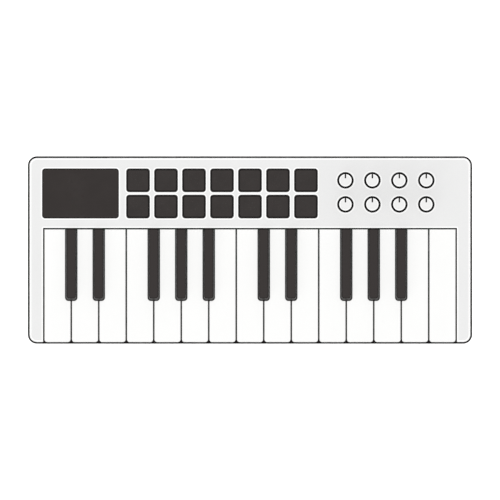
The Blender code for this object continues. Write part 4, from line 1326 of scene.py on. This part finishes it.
# %% Make the sheet and its domes
DOME_RADIUS = 3.2 * MM
DOME_OUTSIDE = ((0.1, 1.0), (0.5, 1.0), (0.6, 0.94), (0.68, 0.84), (0.78, 0.6), (0.9, 0.16),
                (1.0, 0.08), (1.0, 0.0))
DOME_INSIDE = ((0.76, 0.0), (0.66, 0.16), (0.52, 0.6), (0.42, 0.72), (0.1, 0.74))
SHEET_TOP = STRIP_LOW.z + 1.0 * MM
SHEET_CORNER, SHEET_ROUND = 1.5 * MM, 0.15 * MM


def dome_mesh():
    """Down a dome's outside and up its hollow inside, as shares of its radius and height."""
    rise = STRIP_HIGH.z - SHEET_TOP
    profile = [(DOME_RADIUS * out, SHEET_TOP + rise * up) for out, up in DOME_OUTSIDE + DOME_INSIDE]
    return turned("dome", profile, steps=32)


strip_middle = (STRIP_LOW + STRIP_HIGH) / 2
outline = rounded(STRIP_LOW, STRIP_HIGH, SHEET_CORNER)
sheet = plate("dome_sheet", [outline], STRIP_LOW.z, SHEET_TOP, SHEET_ROUND, 2)
piece("dome_sheet", sheet, "housing", "dome_rubber", DOME_RUBBER, stands_for=["contact_strip"])
dome = dome_mesh()
for name in WHITES + BLACKS:
    x, y = middle(name).x, strip_middle.y
    rubber = joined(name, [dome], (x, y, 0))
    rubber = piece(f"{name}_dome", rubber, "housing", "dome_rubber", DOME_RUBBER)
    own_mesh(rubber)
print(len(WHITES + BLACKS), "domes,", round((STRIP_HIGH.z - SHEET_TOP) / MM, 2), "mm tall")

# %% [markdown]
# ## The pivot rod
#
# One drawn steel rod runs through all the keys' eyes and the frame's ribs. It is a plate on its
# side like a key's beam, with a circle for its outline, so it lies exactly on the hinges' axis.

# %% Make the rod
ROD_ROUND = 0.2 * MM
section = circle(PIVOT.y, PIVOT.z, (ROD_HIGH.z - ROD_LOW.z) / 2, 24)
rod = bar("rod", [section], ROD_LOW.x, ROD_HIGH.x, ROD_ROUND, 2)
piece("pivot_rod_steel", rod, "housing", "steel", STEEL, stands_for=["pivot_rod"])
print("rod", round((ROD_HIGH.x - ROD_LOW.x) / MM, 1), "mm long")

# %% [markdown]
# ## The studio
#
# The object is seen from straight above, with no perspective, so the camera is orthographic.
# The main light comes straight down through a polariser, so it fills every flat face evenly,
# leaves no glare and hides its shadows under the pieces. A dim white room and a weak softbox
# at the front left give the edges their shine. The floor glows a little, as a light table
# does, so it stays white right up to the tray. The room is dim as a light but white to the
# camera, so a low view has a white ground too.

# %% Camera and floor
VIEW_WIDTH = 363.65 * MM
VIEW_HEIGHT = 4.0
FLOOR_HALF = 3.0
FLOOR_GLOW = 0.25
ROOM_LIGHT = 0.14
WHITE = (1.0, 1.0, 1.0, 1.0)


def studio_floor():
    finish = Finish("studio_floor", (0.92, 0.92, 0.92), 0.9, specular=0.1)
    cloud = finish.noise(0.4, 2.0)
    finish.set("Base Color", finish.tint(cloud, (0.91, 0.91, 0.91), (0.93, 0.93, 0.93)))
    finish.set("Emission Color", WHITE)
    finish.set("Emission Strength", FLOOR_GLOW)
    return finish.material


camera = bpy.data.cameras.new("camera")
camera.type = "ORTHO"
camera.ortho_scale = VIEW_WIDTH
eye = object_from("camera", camera)
eye.location = (0, 0, VIEW_HEIGHT)
bpy.context.scene.camera = eye

ground = bpy.data.meshes.new("floor")
signs = ((-1, -1), (1, -1), (1, 1), (-1, 1))
ground.from_pydata([(x * FLOOR_HALF, y * FLOOR_HALF, 0) for x, y in signs], [], [(0, 1, 2, 3)])
ground.materials.append(studio_floor())
floor = object_from("floor", ground)
print("camera", camera.type, round(camera.ortho_scale / MM, 1), "mm wide")


# %% Lamps and the room
def lamp(name, kind, strength, spread, place):
    """A light that looks from its place at the object. spread is a sun's angle or a box's side."""
    light = bpy.data.lights.new(name, kind)
    light.energy = strength
    setattr(light, "angle" if kind == "SUN" else "size", spread)
    obj = object_from(name, light)
    obj.location = place
    obj.rotation_euler = (-Vector(place)).to_track_quat("-Z", "Y").to_euler()
    return obj


overhead = lamp("overhead", "SUN", 3.38, math.radians(4), (0, 0, 2))
overhead.visible_glossy = False
lamp("softbox", "AREA", 2.5, 1.2, (-1.1, -1.4, 1.3))
lamp("back_card", "AREA", 3.0, 1.6, (0.5, 2.2, 1.0))

world = bpy.data.worlds.new("sky")
world.use_nodes = True
sky = Shader(world.node_tree, "Background")
seen = sky.node("ShaderNodeLightPath", {}, {}, "Is Camera Ray")
sky.set("Color", WHITE)
sky.set("Strength", seen * (1.0 - ROOM_LIGHT) + ROOM_LIGHT)
bpy.context.scene.world = world
bpy.context.scene.view_settings.view_transform = "Standard"
print("sun", round(overhead.data.energy, 2), "and room", ROOM_LIGHT)
